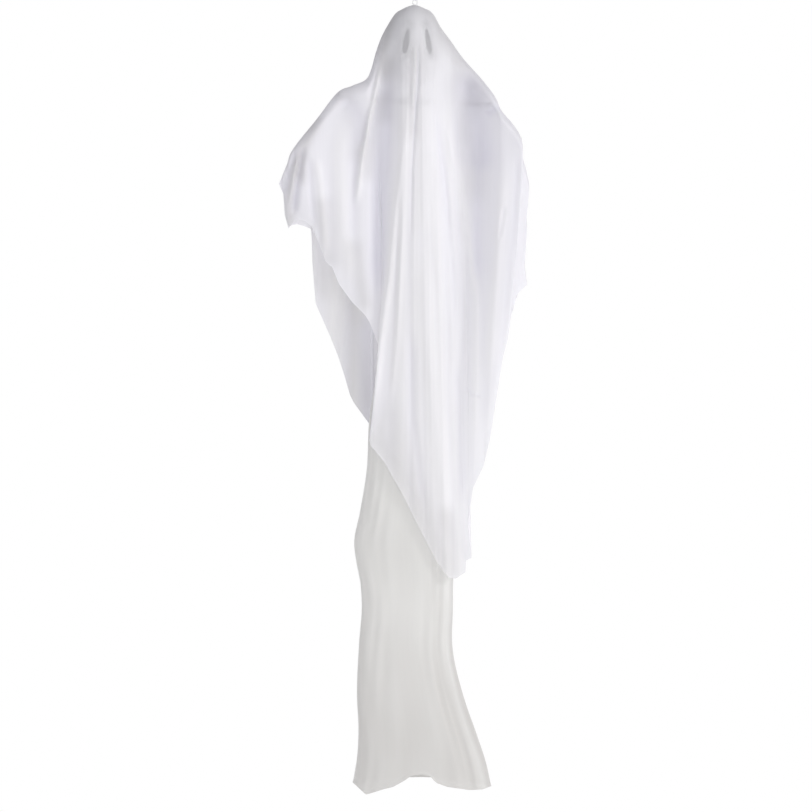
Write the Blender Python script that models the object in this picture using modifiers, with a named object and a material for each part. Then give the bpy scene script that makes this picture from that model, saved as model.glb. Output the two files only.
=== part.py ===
"""Hanging ghost decoration: a sheer veil and a long inner robe on a light frame with two poseable arms.

Metres, +Z up, front towards -Y. The origin is the bearing point inside the hanging eye.
"""
import math

import bmesh
import bpy
import numpy as np
from mathutils import Vector

# Clearances and overruns
GAP = 0.0003
OVERRUN = 0.004
CLOTH_THICKNESS = 0.0016
MERGE = 0.00001

# Hanging eye and the stack that it clamps at the crown
EYE_BORE = 0.010
EYE_WIRE = 0.003
SHANK_DIAMETER = 0.004
SHANK_LENGTH = 0.018
WASHER_DIAMETER = 0.020
WASHER_THICKNESS = 0.0012
NUT_WIDTH = 0.008
NUT_HEIGHT = 0.003

# Head shell
HEAD_WIDTH = 0.156
HEAD_DEPTH = 0.196
HEAD_HEIGHT = 0.2166
HEAD_SIDE_SHIFT = -0.003
HEAD_TURN = math.radians(6.0)
HEAD_WALL = 0.0025
BROW_DEPTH = 0.003
NOSE_HEIGHT = 0.005
EYE_WIDTH = 0.016
EYE_HEIGHT = 0.068
EYE_SPACING = 0.059
EYE_LEAN = math.radians(9.0)
EYE_TAPER_SHARE = 0.2
PATCH_BORDER = 0.005
PATCH_THICKNESS = 0.001
PATCH_CLEARANCE = 0.0006
EYE_RISE_SHARE = 0.02
NECK_LENGTH = 0.018

# Spine and shoulder fitting
SPINE_DIAMETER = 0.022
SPINE_BORE = 0.018
SPINE_LENGTH = 0.120
SPINE_RISE = 0.018
CAP_RIM = 0.003
CAP_DEPTH = 0.010
HUB_CLEARANCE = 0.0022
HUB_HEIGHT = 0.037
HUB_DIAMETER = 0.034
SOCKET_DIAMETER = 0.019
SOCKET_REACH = 0.040
SHOULDER_TILT = math.radians(2.61)
SHOULDER_TUBE_DIAMETER = 0.012
SHOULDER_TUBE_BORE = 0.009
SOCKET_DEPTH = 0.021
PIVOT_REACH = 0.2082
FORK_RADIUS = 0.007
FORK_CHEEK = 0.003
FORK_SLOT = 0.005
FORK_THROAT = 0.010
FORK_PLUG_LENGTH = 0.014
PIVOT_DIAMETER = 0.004
PIVOT_HEAD_DIAMETER = 0.008
PIVOT_HEAD_HEIGHT = 0.0025
WING_NUT_DIAMETER = 0.008
WING_NUT_HEIGHT = 0.005
WING_SPAN = 0.018
WING_THICKNESS = 0.0016
SCREW_DIAMETER = 0.003
SCREW_HEAD_DIAMETER = 0.006
SCREW_HEAD_HEIGHT = 0.002

# Arms
ARM_LENGTH = 0.173
ARM_DROP_LEFT = math.radians(56.6)
ARM_DROP_RIGHT = math.radians(61.4)
ARM_FORWARD_LEFT = math.radians(15.0)
ARM_FORWARD_RIGHT = math.radians(45.5)
ARM_EYE_THICKNESS = 0.0044
ARM_EYE_RADIUS = 0.0062
ARM_ROD_DIAMETER = 0.0044
ARM_STRAIGHT = 0.014
FOAM_DIAMETER = 0.016
FOAM_START = 0.036
HAND_DIAMETER = 0.036

# Robe
COLLAR_BELOW_HUB = 0.0155
COLLAR_HEIGHT = 0.008
COLLAR_THICKNESS = 0.0015
ROBE_NECK_HEIGHT = 0.016
ROBE_DROP = 2.131
ROBE_WIDTH = 0.364
ROBE_DEPTH = 0.230
ROBE_FOLDS = 9
ROBE_FOLD_DEPTH = 0.011

# Veil
VEIL_DROP = 1.547
VEIL_STAND_OFF = 0.0032
VEIL_FOLD_DEPTH = 0.010
VEIL_FOLD_START = 0.12
VEIL_FOLD_GROWTH = 0.60
VEIL_FOLDS_PER_STATION = 1.0
VEIL_SPLIT_INSET = 0.008
VEIL_HOLE = 0.006

SIDES = {"left": -1.0, "right": 1.0}
ARM_TURNS = {"left": (ARM_DROP_LEFT, ARM_FORWARD_LEFT), "right": (ARM_DROP_RIGHT, ARM_FORWARD_RIGHT)}

# Holes, heights and places that follow from the sizes above
SCREW_HOLE = SCREW_DIAMETER + 2 * GAP
PIVOT_HOLE = PIVOT_DIAMETER + 2 * GAP
WASHER_TOP = -EYE_BORE - EYE_WIRE - GAP
VEIL_TOP = WASHER_TOP - WASHER_THICKNESS - GAP
HEAD_TOP = VEIL_TOP - CLOTH_THICKNESS - GAP
HEAD_CENTRE = HEAD_TOP - HEAD_HEIGHT / 2
HEAD_BOTTOM = HEAD_TOP - HEAD_HEIGHT
NECK_BOTTOM = HEAD_BOTTOM - NECK_LENGTH
HUB_DROP = -NECK_BOTTOM + HUB_CLEARANCE + HUB_HEIGHT / 2
COLLAR_DROP = HUB_DROP + HUB_HEIGHT / 2 + COLLAR_BELOW_HUB
NECK_RADIUS = SPINE_DIAMETER / 2 + GAP + HEAD_WALL
NECK_SCREW_HEIGHT = NECK_BOTTOM + NECK_LENGTH / 2
SPINE_TOP = HEAD_BOTTOM + SPINE_RISE
SPINE_BOTTOM = SPINE_TOP - SPINE_LENGTH
TUBE_SCREW_GRIP = SOCKET_DIAMETER / 2 - SHOULDER_TUBE_BORE / 2 + SCREW_DIAMETER / 2
FORK_BACK = PIVOT_REACH - FORK_THROAT - FORK_RADIUS
PIVOT_HALF = PIVOT_REACH * math.cos(SHOULDER_TILT)
VEIL_SPLIT = PIVOT_HALF - VEIL_SPLIT_INSET


def clear_scene():
    for old in list(bpy.data.objects):
        bpy.data.objects.remove(old, do_unlink=True)


def collection(name):
    made = bpy.data.collections.new(name)
    bpy.context.scene.collection.children.link(made)
    return made


clear_scene()
PARTS = collection("ghost_decoration")
CUTTERS = collection("cutters")


def material(name, colour, roughness, metallic=0.0):
    made = bpy.data.materials.new(name)
    made.use_nodes = True
    shader = made.node_tree.nodes["Principled BSDF"]
    shader.inputs["Base Color"].default_value = (*colour, 1.0)
    shader.inputs["Roughness"].default_value = roughness
    shader.inputs["Metallic"].default_value = metallic
    made.diffuse_color = (*colour, 1.0)
    return made


def add_object(name, mesh, finish):
    made = bpy.data.objects.new(name, mesh)
    PARTS.objects.link(made)
    if finish is not None:
        mesh.materials.append(finish)
    return made


def empty(name, place, turn=(0, 0, 0), parent=None):
    made = bpy.data.objects.new(name, None)
    PARTS.objects.link(made)
    made.location = place
    made.rotation_euler = turn
    made.parent = parent
    return made


def solid(name, build, finish):
    """A mesh object from a function that fills a bmesh."""
    bm = bmesh.new()
    build(bm)
    mesh = bpy.data.meshes.new(name)
    bm.to_mesh(mesh)
    bm.free()
    mesh.shade_smooth()
    mesh.set_sharp_from_angle(angle=math.radians(35))
    return add_object(name, mesh, finish)


def cylinder(name, diameter, length, finish, sides=24):
    """An upright cylinder, centred on its object."""

    def build(bm):
        bmesh.ops.create_cone(
            bm, cap_ends=True, segments=sides, radius1=diameter / 2, radius2=diameter / 2, depth=length
        )

    return solid(name, build, finish)


def box(name, size, finish):
    """A box of a given size, centred on its object."""

    def build(bm):
        bmesh.ops.create_cube(bm, size=1.0)
        bmesh.ops.scale(bm, vec=size, verts=bm.verts)

    return solid(name, build, finish)


def turned(name, profile, finish, sides=24):
    """A profile of (radius, height) points, top to bottom on its outer side, turned about Z.

    A profile that starts on the axis ends there too; any other closes on itself around a bore.
    """
    mesh = bpy.data.meshes.new(name)
    points = [(r, 0.0, z) for r, z in profile]
    edges = [(i, i + 1) for i in range(len(points) - 1)]
    if profile[0][0] > 0:
        edges.append((len(points) - 1, 0))
    mesh.from_pydata(points, edges, [])
    made = add_object(name, mesh, finish)
    turn = made.modifiers.new("turn", "SCREW")
    turn.steps = sides
    turn.render_steps = sides
    turn.use_merge_vertices = True
    turn.merge_threshold = MERGE
    turn.use_smooth_shade = False
    return made


def place(made, where, turn=(0, 0, 0), parent=None):
    made.location = where
    made.rotation_euler = turn
    made.parent = parent
    return made


def combine(target, tool, operation):
    """Boolean that joins a tool to a target, or cuts it away; the tool is kept as a hidden guide."""
    for home in list(tool.users_collection):
        home.objects.unlink(tool)
    CUTTERS.objects.link(tool)
    tool.hide_render = True
    tool.display_type = "WIRE"
    step = target.modifiers.new(tool.name, "BOOLEAN")
    step.operation = operation
    step.object = tool
    step.solver = "EXACT"
    return target


def cut(target, tool):
    return combine(target, tool, "DIFFERENCE")


def join(target, tool):
    return combine(target, tool, "UNION")


def grid_mesh(name, points, closed):
    """Quads over a grid of points, rows by columns; closed joins the last column to the first."""
    rows, columns = points.shape[:2]
    index = np.arange(rows * columns).reshape(rows, columns)
    right = np.roll(index, -1, axis=1) if closed else index[:, 1:]
    left = index if closed else index[:, :-1]
    faces = np.stack([left[:-1], left[1:], right[1:], right[:-1]], axis=-1).reshape(-1, 4)
    mesh = bpy.data.meshes.new(name)
    mesh.from_pydata(points.reshape(-1, 3).tolist(), [], faces.tolist())
    mesh.shade_smooth()
    return mesh


def thicken(made, thickness, offset):
    step = made.modifiers.new("thickness", "SOLIDIFY")
    step.thickness = thickness
    step.offset = offset
    step.use_even_offset = False
    return made


def spline(knots, values, at):
    """Smooth curve through values at uneven knots, with tangents from each knot's two neighbours."""
    knots = np.asarray(knots, float)
    values = np.asarray(values, float)
    slopes = np.gradient(values, knots, axis=0)
    cell = np.clip(np.searchsorted(knots, at, side="right") - 1, 0, len(knots) - 2)
    width = knots[cell + 1] - knots[cell]
    t = (at - knots[cell]) / width
    shape = (slice(None),) + (None,) * (values.ndim - 1)
    t = t[shape]
    width = width[shape]
    start = (2 * t**3 - 3 * t**2 + 1) * values[cell] + (t**3 - 2 * t**2 + t) * width * slopes[cell]
    end = (3 * t**2 - 2 * t**3) * values[cell + 1] + (t**3 - t**2) * width * slopes[cell + 1]
    return start + end


def ease(t):
    t = np.clip(t, 0.0, 1.0)
    return t * t * (3 - 2 * t)


# Finishes

VOILE = material("white_voile", (0.86, 0.86, 0.92), 0.9)
ROBE_CLOTH = material("white_cloth", (0.80, 0.80, 0.80), 0.9)
SHELL = material("white_shell", (0.78, 0.78, 0.78), 0.5)
FELT = material("black_felt", (0.03, 0.03, 0.03), 0.95)
PIPE = material("white_pipe", (0.72, 0.72, 0.70), 0.4)
FITTING = material("grey_fitting", (0.35, 0.36, 0.37), 0.5)
STEEL = material("zinc_steel", (0.60, 0.60, 0.61), 0.35, 1.0)
FOAM = material("white_foam", (0.82, 0.82, 0.80), 0.95)
ELASTIC = material("white_elastic", (0.75, 0.75, 0.75), 0.9)
ENAMEL = material("white_enamel", (0.80, 0.80, 0.80), 0.35)


# Hanging eye, washers and nut


def hanging_eye():
    ring_radius = (EYE_BORE + EYE_WIRE) / 2
    ring_centre = -EYE_BORE / 2
    bpy.ops.mesh.primitive_torus_add(
        major_radius=ring_radius,
        minor_radius=EYE_WIRE / 2,
        major_segments=20,
        minor_segments=8,
        location=(0, 0, ring_centre),
        rotation=(math.pi / 2, 0, 0),
    )
    eye = bpy.context.object
    eye.name = "hanging_eye"
    for home in list(eye.users_collection):
        home.objects.unlink(eye)
    PARTS.objects.link(eye)
    eye.data.materials.append(ENAMEL)
    shank_top = ring_centre - ring_radius
    shank = cylinder("eye_shank", SHANK_DIAMETER, SHANK_LENGTH, None)
    place(shank, (0, 0, shank_top - SHANK_LENGTH / 2))
    return join(eye, shank)


def washer(name, top, finish):
    bore = SHANK_DIAMETER / 2 + GAP
    outer = WASHER_DIAMETER / 2
    bottom = top - WASHER_THICKNESS
    return turned(name, [(outer, top), (outer, bottom), (bore, bottom), (bore, top)], finish, sides=20)


def crown_stack():
    hanging_eye()
    washer("crown_washer", WASHER_TOP, ENAMEL)
    inner_top = HEAD_TOP - HEAD_WALL - GAP
    washer("crown_inner_washer", inner_top, STEEL)
    nut = cylinder("hanging_nut", NUT_WIDTH, NUT_HEIGHT, STEEL, sides=6)
    place(nut, (0, 0, inner_top - WASHER_THICKNESS - GAP - NUT_HEIGHT / 2))
    bore = cylinder("nut_bore", SHANK_DIAMETER + 2 * GAP, NUT_HEIGHT + 2 * OVERRUN, None)
    cut(nut, place(bore, nut.location))


# Head shells and eye patches

def head_points(inset, columns=28):
    """Rings of an egg-shaped head: an ellipsoid with a brow dip, a nose and a neck, drawn in by inset."""
    angles = np.radians(np.array([12, 25, 38, 50, 61, 72, 83, 94, 105, 117, 130, 143, 157]))
    width = HEAD_WIDTH / 2 - inset
    depth = HEAD_DEPTH / 2 - inset
    height = HEAD_HEIGHT / 2 - inset
    around = np.linspace(0, 2 * math.pi, columns, endpoint=False)
    down = angles[:, None]
    x = width * np.sin(down) * np.cos(around)
    y = depth * np.sin(down) * np.sin(around)
    z = HEAD_CENTRE + height * np.cos(down) * np.ones_like(x)
    nose_high_share = -0.14
    nose_wide_share = 0.10
    nose_tall_share = 0.16
    level = (z - HEAD_CENTRE) / HEAD_HEIGHT
    middle = np.exp(-((x / (nose_wide_share * HEAD_WIDTH)) ** 2))
    nose = NOSE_HEIGHT * middle * np.exp(-(((level - nose_high_share) / nose_tall_share) ** 2))
    socket_wide_share = 0.17
    socket = np.exp(-(((np.abs(x) - EYE_SPACING / 2) / (socket_wide_share * HEAD_WIDTH)) ** 2))
    socket_dip = BROW_DEPTH * socket * np.exp(-((level / nose_tall_share) ** 2))
    y = np.where(y < 0, y - nose + socket_dip, y)
    x = x + HEAD_SIDE_SHIFT
    crown_rings = []
    for radius in (SHANK_DIAMETER / 2 + GAP, WASHER_DIAMETER / 2 + GAP):
        ring = [radius * np.cos(around), radius * np.sin(around), np.full(columns, HEAD_TOP - inset)]
        crown_rings.append(np.stack(ring, axis=-1))
    neck_rings = []
    for height_at in (HEAD_BOTTOM, NECK_BOTTOM):
        radius = NECK_RADIUS - inset
        ring = [radius * np.cos(around), radius * np.sin(around), np.full(columns, height_at)]
        neck_rings.append(np.stack(ring, axis=-1))
    return np.concatenate([crown_rings, np.stack([x, y, z], axis=-1), neck_rings])


def eye_cutter(name, side, border):
    """An upright oval block through the face at one eye, narrower at its top than at its foot."""
    block = cylinder(name, 1.0, HEAD_DEPTH / 2, None, sides=28)
    half_width = EYE_WIDTH / 2 + border
    half_height = EYE_HEIGHT / 2 + border
    for vertex in block.data.vertices:
        vertex.co.x *= 2 * half_width * (1 - EYE_TAPER_SHARE * 2 * vertex.co.y)
        vertex.co.y *= 2 * half_height
    across = HEAD_SIDE_SHIFT + side * EYE_SPACING / 2
    height = HEAD_CENTRE + EYE_RISE_SHARE * HEAD_HEIGHT
    return place(block, (across, -HEAD_DEPTH / 2, height), (math.pi / 2, -side * EYE_LEAN, 0))


def half_space(name, side, size, height):
    """A block that holds all that lies on one side of a seam in the XZ plane."""
    block = box(name, (size, size, size), None)
    return place(block, (0, side * (size / 2 + GAP / 2), height))


def head_shells(turn):
    for name, side in (("head_front", -1.0), ("head_back", 1.0)):
        shell = add_object(name, grid_mesh(name, head_points(0.0), True), SHELL)
        thicken(shell, HEAD_WALL, -1.0)
        combine(shell, half_space(name + "_half", side, 2 * HEAD_HEIGHT, HEAD_CENTRE), "INTERSECT")
        screw_hole = cylinder(name + "_screw_hole", SCREW_HOLE, HEAD_DEPTH / 2, None, sides=12)
        place(screw_hole, (0, side * HEAD_DEPTH / 4, NECK_SCREW_HEIGHT), (math.pi / 2, 0, 0))
        cut(shell, screw_hole)
        shell.parent = turn
        for tool in CUTTERS.objects:
            if tool.name.startswith(name):
                tool.parent = turn
    front = bpy.data.objects["head_front"]
    for label, side in SIDES.items():
        hole = eye_cutter("eye_hole_" + label, side, 0.0)
        hole.parent = turn
        cut(front, hole)
        patch_mesh = grid_mesh("eye_patch_" + label, head_points(HEAD_WALL + PATCH_CLEARANCE), True)
        patch = add_object("eye_patch_" + label, patch_mesh, FELT)
        thicken(patch, PATCH_THICKNESS, -1.0)
        outline = eye_cutter("eye_patch_outline_" + label, side, PATCH_BORDER)
        outline.parent = turn
        combine(patch, outline, "INTERSECT")
        patch.parent = turn


# Spine, neck screws and shoulder fitting

def headed_pin(name, head_diameter, head_height, diameter, grip, sides):
    """A pan-headed screw or bolt along +Z, with its head's underside at the object's origin."""
    crown_share = 0.7
    rim_share = 0.4
    head = head_diameter / 2
    shank = diameter / 2
    profile = [
        (0, head_height),
        (crown_share * head, head_height),
        (head, rim_share * head_height),
        (head, 0),
        (shank, 0),
        (shank, -grip),
        (0, -grip),
    ]
    return turned(name, profile, STEEL, sides=sides)


def screw(name, grip):
    return headed_pin(name, SCREW_HEAD_DIAMETER, SCREW_HEAD_HEIGHT, SCREW_DIAMETER, grip, 12)


def spine(turn):
    wall = [
        (SPINE_DIAMETER / 2, SPINE_TOP),
        (SPINE_DIAMETER / 2, SPINE_BOTTOM),
        (SPINE_BORE / 2, SPINE_BOTTOM),
        (SPINE_BORE / 2, SPINE_TOP),
    ]
    tube = turned("spine_tube", wall, PIPE)
    across = cylinder("spine_screw_hole", SCREW_HOLE, 2 * SPINE_DIAMETER, None, sides=12)
    place(across, (0, 0, NECK_SCREW_HEIGHT), (math.pi / 2, 0, 0), turn)
    cut(tube, across)
    hub_hole = cylinder("spine_hub_hole", SCREW_HOLE, SPINE_DIAMETER, None, sides=12)
    place(hub_hole, (0, SPINE_DIAMETER / 2, -HUB_DROP - HUB_HEIGHT / 4), (math.pi / 2, 0, 0))
    cut(tube, hub_hole)
    for name, side in (("neck_screw_front", -1.0), ("neck_screw_back", 1.0)):
        grip = HEAD_WALL + SPINE_DIAMETER / 2 - SPINE_BORE / 2 + 2 * GAP + SCREW_DIAMETER / 2
        fastener = screw(name, grip)
        where = (0, side * (NECK_RADIUS + GAP), NECK_SCREW_HEIGHT)
        place(fastener, where, (-side * math.pi / 2, 0, 0), turn)
    cap_plug = SPINE_BORE / 2 - GAP
    cap = [
        (0, SPINE_BOTTOM + CAP_DEPTH),
        (cap_plug, SPINE_BOTTOM + CAP_DEPTH),
        (cap_plug, SPINE_BOTTOM - GAP),
        (SPINE_DIAMETER / 2, SPINE_BOTTOM - GAP),
        (SPINE_DIAMETER / 2, SPINE_BOTTOM - GAP - CAP_RIM),
        (0, SPINE_BOTTOM - GAP - CAP_RIM),
    ]
    turned("spine_end_cap", cap, FITTING)


def shoulder_hub(tilt):
    hub = cylinder("shoulder_hub", HUB_DIAMETER, HUB_HEIGHT, FITTING, sides=28)
    place(hub, (0, 0, -HUB_DROP))
    sleeve = cylinder("hub_sleeve", SOCKET_DIAMETER, 2 * SOCKET_REACH, None)
    join(hub, place(sleeve, (0, 0, 0), (0, math.pi / 2, 0), tilt))
    bore = cylinder("hub_bore", SPINE_DIAMETER + 2 * GAP, HUB_HEIGHT + 2 * OVERRUN, None)
    cut(hub, place(bore, (0, 0, -HUB_DROP)))
    for label, side in SIDES.items():
        bore_diameter = SHOULDER_TUBE_DIAMETER + 2 * GAP
        socket = cylinder("hub_socket_" + label, bore_diameter, SOCKET_DEPTH + OVERRUN, None)
        middle = SOCKET_REACH - SOCKET_DEPTH / 2 + OVERRUN / 2
        cut(hub, place(socket, (side * middle, 0, 0), (0, math.pi / 2, 0), tilt))
        hole = cylinder("hub_tube_screw_hole_" + label, SCREW_HOLE, SOCKET_DIAMETER, None, sides=12)
        where = (side * (SOCKET_REACH - SOCKET_DEPTH / 2), SOCKET_DIAMETER / 2, 0)
        cut(hub, place(hole, where, (math.pi / 2, 0, 0), tilt))
        flat = (side * (SOCKET_REACH - SOCKET_DEPTH / 2), SOCKET_DIAMETER / 2 + GAP, 0)
        fastener = screw("tube_screw_" + label, TUBE_SCREW_GRIP)
        place(fastener, flat, (-math.pi / 2, 0, 0), tilt)
    set_hole = cylinder("hub_set_screw_hole", SCREW_HOLE, HUB_DIAMETER / 2, None, sides=12)
    cut(hub, place(set_hole, (0, HUB_DIAMETER / 2, -HUB_DROP - HUB_HEIGHT / 4), (math.pi / 2, 0, 0)))
    grip = HUB_DIAMETER / 2 - SPINE_BORE / 2 + SCREW_DIAMETER / 2
    fastener = screw("hub_screw", grip)
    place(fastener, (0, HUB_DIAMETER / 2 + GAP, -HUB_DROP - HUB_HEIGHT / 4), (-math.pi / 2, 0, 0))


def shoulder_tube(label, side, tilt):
    """A tube from the hub's socket to the back of the fork."""
    start = SOCKET_REACH - SOCKET_DEPTH + GAP
    end = FORK_BACK - GAP
    outer = SHOULDER_TUBE_DIAMETER / 2
    inner = SHOULDER_TUBE_BORE / 2
    wall = [(outer, end), (outer, start), (inner, start), (inner, end)]
    tube = turned("shoulder_tube_" + label, wall, PIPE)
    place(tube, (0, 0, 0), (0, side * math.pi / 2, 0), tilt)
    hole = cylinder("tube_screw_hole_" + label, SCREW_HOLE, SHOULDER_TUBE_DIAMETER, None, sides=12)
    where = (side * (SOCKET_REACH - SOCKET_DEPTH / 2), SHOULDER_TUBE_DIAMETER / 2, 0)
    cut(tube, place(hole, where, (math.pi / 2, 0, 0), tilt))


def shoulder_fork(label, side, tilt):
    """A plug for the tube's bore with two cheeks that take the arm's eye."""
    thickness = FORK_SLOT + 2 * FORK_CHEEK
    length = PIVOT_REACH - FORK_BACK
    fork = box("shoulder_fork_" + label, (length, thickness, 2 * FORK_RADIUS), FITTING)
    place(fork, (side * (FORK_BACK + length / 2), 0, 0), (0, 0, 0), tilt)
    nose = cylinder("fork_nose_" + label, 2 * FORK_RADIUS, thickness, None, sides=28)
    join(fork, place(nose, (side * PIVOT_REACH, 0, 0), (math.pi / 2, 0, 0), tilt))
    plug = cylinder("fork_plug_" + label, SHOULDER_TUBE_BORE - 2 * GAP, FORK_PLUG_LENGTH + OVERRUN / 2, None)
    plug_at = side * (FORK_BACK - FORK_PLUG_LENGTH / 2 + OVERRUN / 4)
    join(fork, place(plug, (plug_at, 0, 0), (0, math.pi / 2, 0), tilt))
    slot_length = FORK_THROAT + FORK_RADIUS + OVERRUN
    slot = box("fork_slot_" + label, (slot_length, FORK_SLOT, 2 * FORK_RADIUS + 2 * OVERRUN), None)
    slot_at = side * (PIVOT_REACH - FORK_THROAT + slot_length / 2)
    cut(fork, place(slot, (slot_at, 0, 0), (0, 0, 0), tilt))
    hole = cylinder("fork_hole_" + label, PIVOT_HOLE, thickness + 2 * OVERRUN, None, sides=20)
    cut(fork, place(hole, (side * PIVOT_REACH, 0, 0), (math.pi / 2, 0, 0), tilt))
    return thickness


def pivot_hardware(label, side, tilt, thickness):
    """The pivot bolt from the front, and a wing nut behind the fork."""
    grip = thickness + GAP + WING_NUT_HEIGHT + 2 * GAP + PIVOT_DIAMETER / 2
    name = "pivot_bolt_" + label
    bolt = headed_pin(name, PIVOT_HEAD_DIAMETER, PIVOT_HEAD_HEIGHT, PIVOT_DIAMETER, grip, 20)
    place(bolt, (side * PIVOT_REACH, -thickness / 2 - GAP, 0), (math.pi / 2, 0, 0), tilt)
    nut = cylinder("wing_nut_" + label, WING_NUT_DIAMETER, WING_NUT_HEIGHT, STEEL, sides=20)
    nut_at = thickness / 2 + GAP + WING_NUT_HEIGHT / 2
    place(nut, (side * PIVOT_REACH, nut_at, 0), (math.pi / 2, 0, 0), tilt)
    wings = box("nut_wings_" + label, (WING_SPAN, WING_NUT_HEIGHT, WING_THICKNESS), None)
    join(nut, place(wings, (side * PIVOT_REACH, nut_at + WING_NUT_HEIGHT / 2, 0), (0, 0, 0), tilt))
    hole = cylinder("nut_hole_" + label, PIVOT_HOLE, WING_NUT_HEIGHT + 4 * OVERRUN, None, sides=20)
    cut(nut, place(hole, (side * PIVOT_REACH, nut_at, 0), (math.pi / 2, 0, 0), tilt))


# Arms


def pivot_point(side):
    drop = side * PIVOT_REACH * math.sin(SHOULDER_TILT)
    return Vector((side * PIVOT_HALF, 0, -HUB_DROP - drop))


def hand_point(label):
    side = SIDES[label]
    drop, turn = ARM_TURNS[label]
    reach = ARM_LENGTH * math.cos(turn)
    sideways = side * reach * math.cos(drop)
    forward = -ARM_LENGTH * math.sin(turn)
    down = -reach * math.sin(drop)
    return pivot_point(side) + Vector((sideways, forward, down))


def arm_direction(label):
    """The arm's direction in the frontal plane, where it leaves the fork."""
    drop = ARM_TURNS[label][0]
    return Vector((SIDES[label] * math.cos(drop), 0, -math.sin(drop)))


def arm_path(label, steps=8):
    """A smooth bend from the pivot to the hand: straight out of the fork, then curving forwards."""
    pivot = pivot_point(SIDES[label])
    out = arm_direction(label)
    hand = hand_point(label)
    bend = pivot + out * ARM_STRAIGHT
    aim = (hand - bend).normalized()
    reach = (hand - bend).length
    lead_share = 0.3
    bend_share = 0.45
    points = [pivot + out * ARM_EYE_RADIUS / 2]
    for i in range(steps + 1):
        t = i / steps
        first = bend + out * (t * reach * lead_share)
        second = hand - aim * ((1 - t) * reach)
        points.append(first.lerp(second, float(ease(t / bend_share))))
    return points


def curve_mesh(name, points, diameter, resolution=2):
    """A round rod along points, as a closed mesh."""
    curve = bpy.data.curves.new(name + "_path", "CURVE")
    curve.dimensions = "3D"
    curve.bevel_depth = diameter / 2
    curve.bevel_resolution = resolution
    curve.use_fill_caps = True
    line = curve.splines.new("POLY")
    line.points.add(len(points) - 1)
    for slot, point in zip(line.points, points):
        slot.co = (*point, 1.0)
    guide = add_object(name + "_path", curve, None)
    bpy.context.view_layer.update()
    seen = guide.evaluated_get(bpy.context.evaluated_depsgraph_get())
    mesh = bpy.data.meshes.new_from_object(seen)
    bpy.data.objects.remove(guide, do_unlink=True)
    bm = bmesh.new()
    bm.from_mesh(mesh)
    bmesh.ops.remove_doubles(bm, verts=bm.verts, dist=MERGE)
    bm.to_mesh(mesh)
    bm.free()
    return mesh


def path_rings(points, radius, sides):
    """Rings of a given radius square to a path, as a grid of points."""
    points = np.array([tuple(p) for p in points])
    along = np.gradient(points, axis=0)
    along /= np.linalg.norm(along, axis=1, keepdims=True)
    across = np.cross(along, np.array([0.0, 1.0, 0.0]))
    across /= np.linalg.norm(across, axis=1, keepdims=True)
    other = np.cross(across, along)
    around = np.linspace(0, 2 * math.pi, sides, endpoint=False)[None, :, None]
    ring = np.cos(around) * across[:, None, :] + np.sin(around) * other[:, None, :]
    return points[:, None, :] + radius * ring


def arm(label):
    side = SIDES[label]
    pivot = pivot_point(side)
    origin = empty("arm_axis_" + label, pivot)
    path = arm_path(label)

    def local(points):
        return [p - pivot for p in points]

    name = "arm_rod_" + label
    rod = add_object(name, curve_mesh(name, local(path), ARM_ROD_DIAMETER), STEEL)
    rod.parent = origin
    eye = cylinder("arm_eye_" + label, 2 * ARM_EYE_RADIUS, ARM_EYE_THICKNESS, None, sides=24)
    join(rod, place(eye, (0, 0, 0), (math.pi / 2, 0, 0), origin))
    hole = cylinder("arm_eye_hole_" + label, PIVOT_HOLE, ARM_EYE_THICKNESS + 2 * OVERRUN, None, sides=20)
    cut(rod, place(hole, (0, 0, 0), (math.pi / 2, 0, 0), origin))
    hand = hand_point(label)
    entry = HAND_DIAMETER / 2 + GAP
    covered = [p for p in path if (p - pivot).length > FOAM_START and (p - hand).length > entry]
    covered.append(hand + (covered[-1] - hand).normalized() * entry)
    name = "arm_foam_" + label
    foam = add_object(name, grid_mesh(name, path_rings(local(covered), FOAM_DIAMETER / 2, 12), True), FOAM)
    foam_wall = (FOAM_DIAMETER - ARM_ROD_DIAMETER) / 2 - 2 * GAP
    thicken(foam, foam_wall, -1.0)
    foam.parent = origin

    def ball(bm):
        bmesh.ops.create_uvsphere(bm, u_segments=16, v_segments=10, radius=HAND_DIAMETER / 2)

    hand_ball = solid("hand_ball_" + label, ball, FOAM)
    place(hand_ball, hand - pivot, (0, 0, 0), origin)
    inward = (path[-2] - hand).normalized()
    bore_diameter = ARM_ROD_DIAMETER + 4 * GAP
    bore = cylinder("hand_bore_" + label, bore_diameter, HAND_DIAMETER + OVERRUN, None, sides=16)
    bore.rotation_mode = "QUATERNION"
    bore.rotation_quaternion = inward.to_track_quat("Z", "Y")
    bore.location = hand - pivot + inward * (HAND_DIAMETER / 2 + OVERRUN / 2)
    bore.parent = origin
    cut(hand_ball, bore)
    return origin


# Robe


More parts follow.
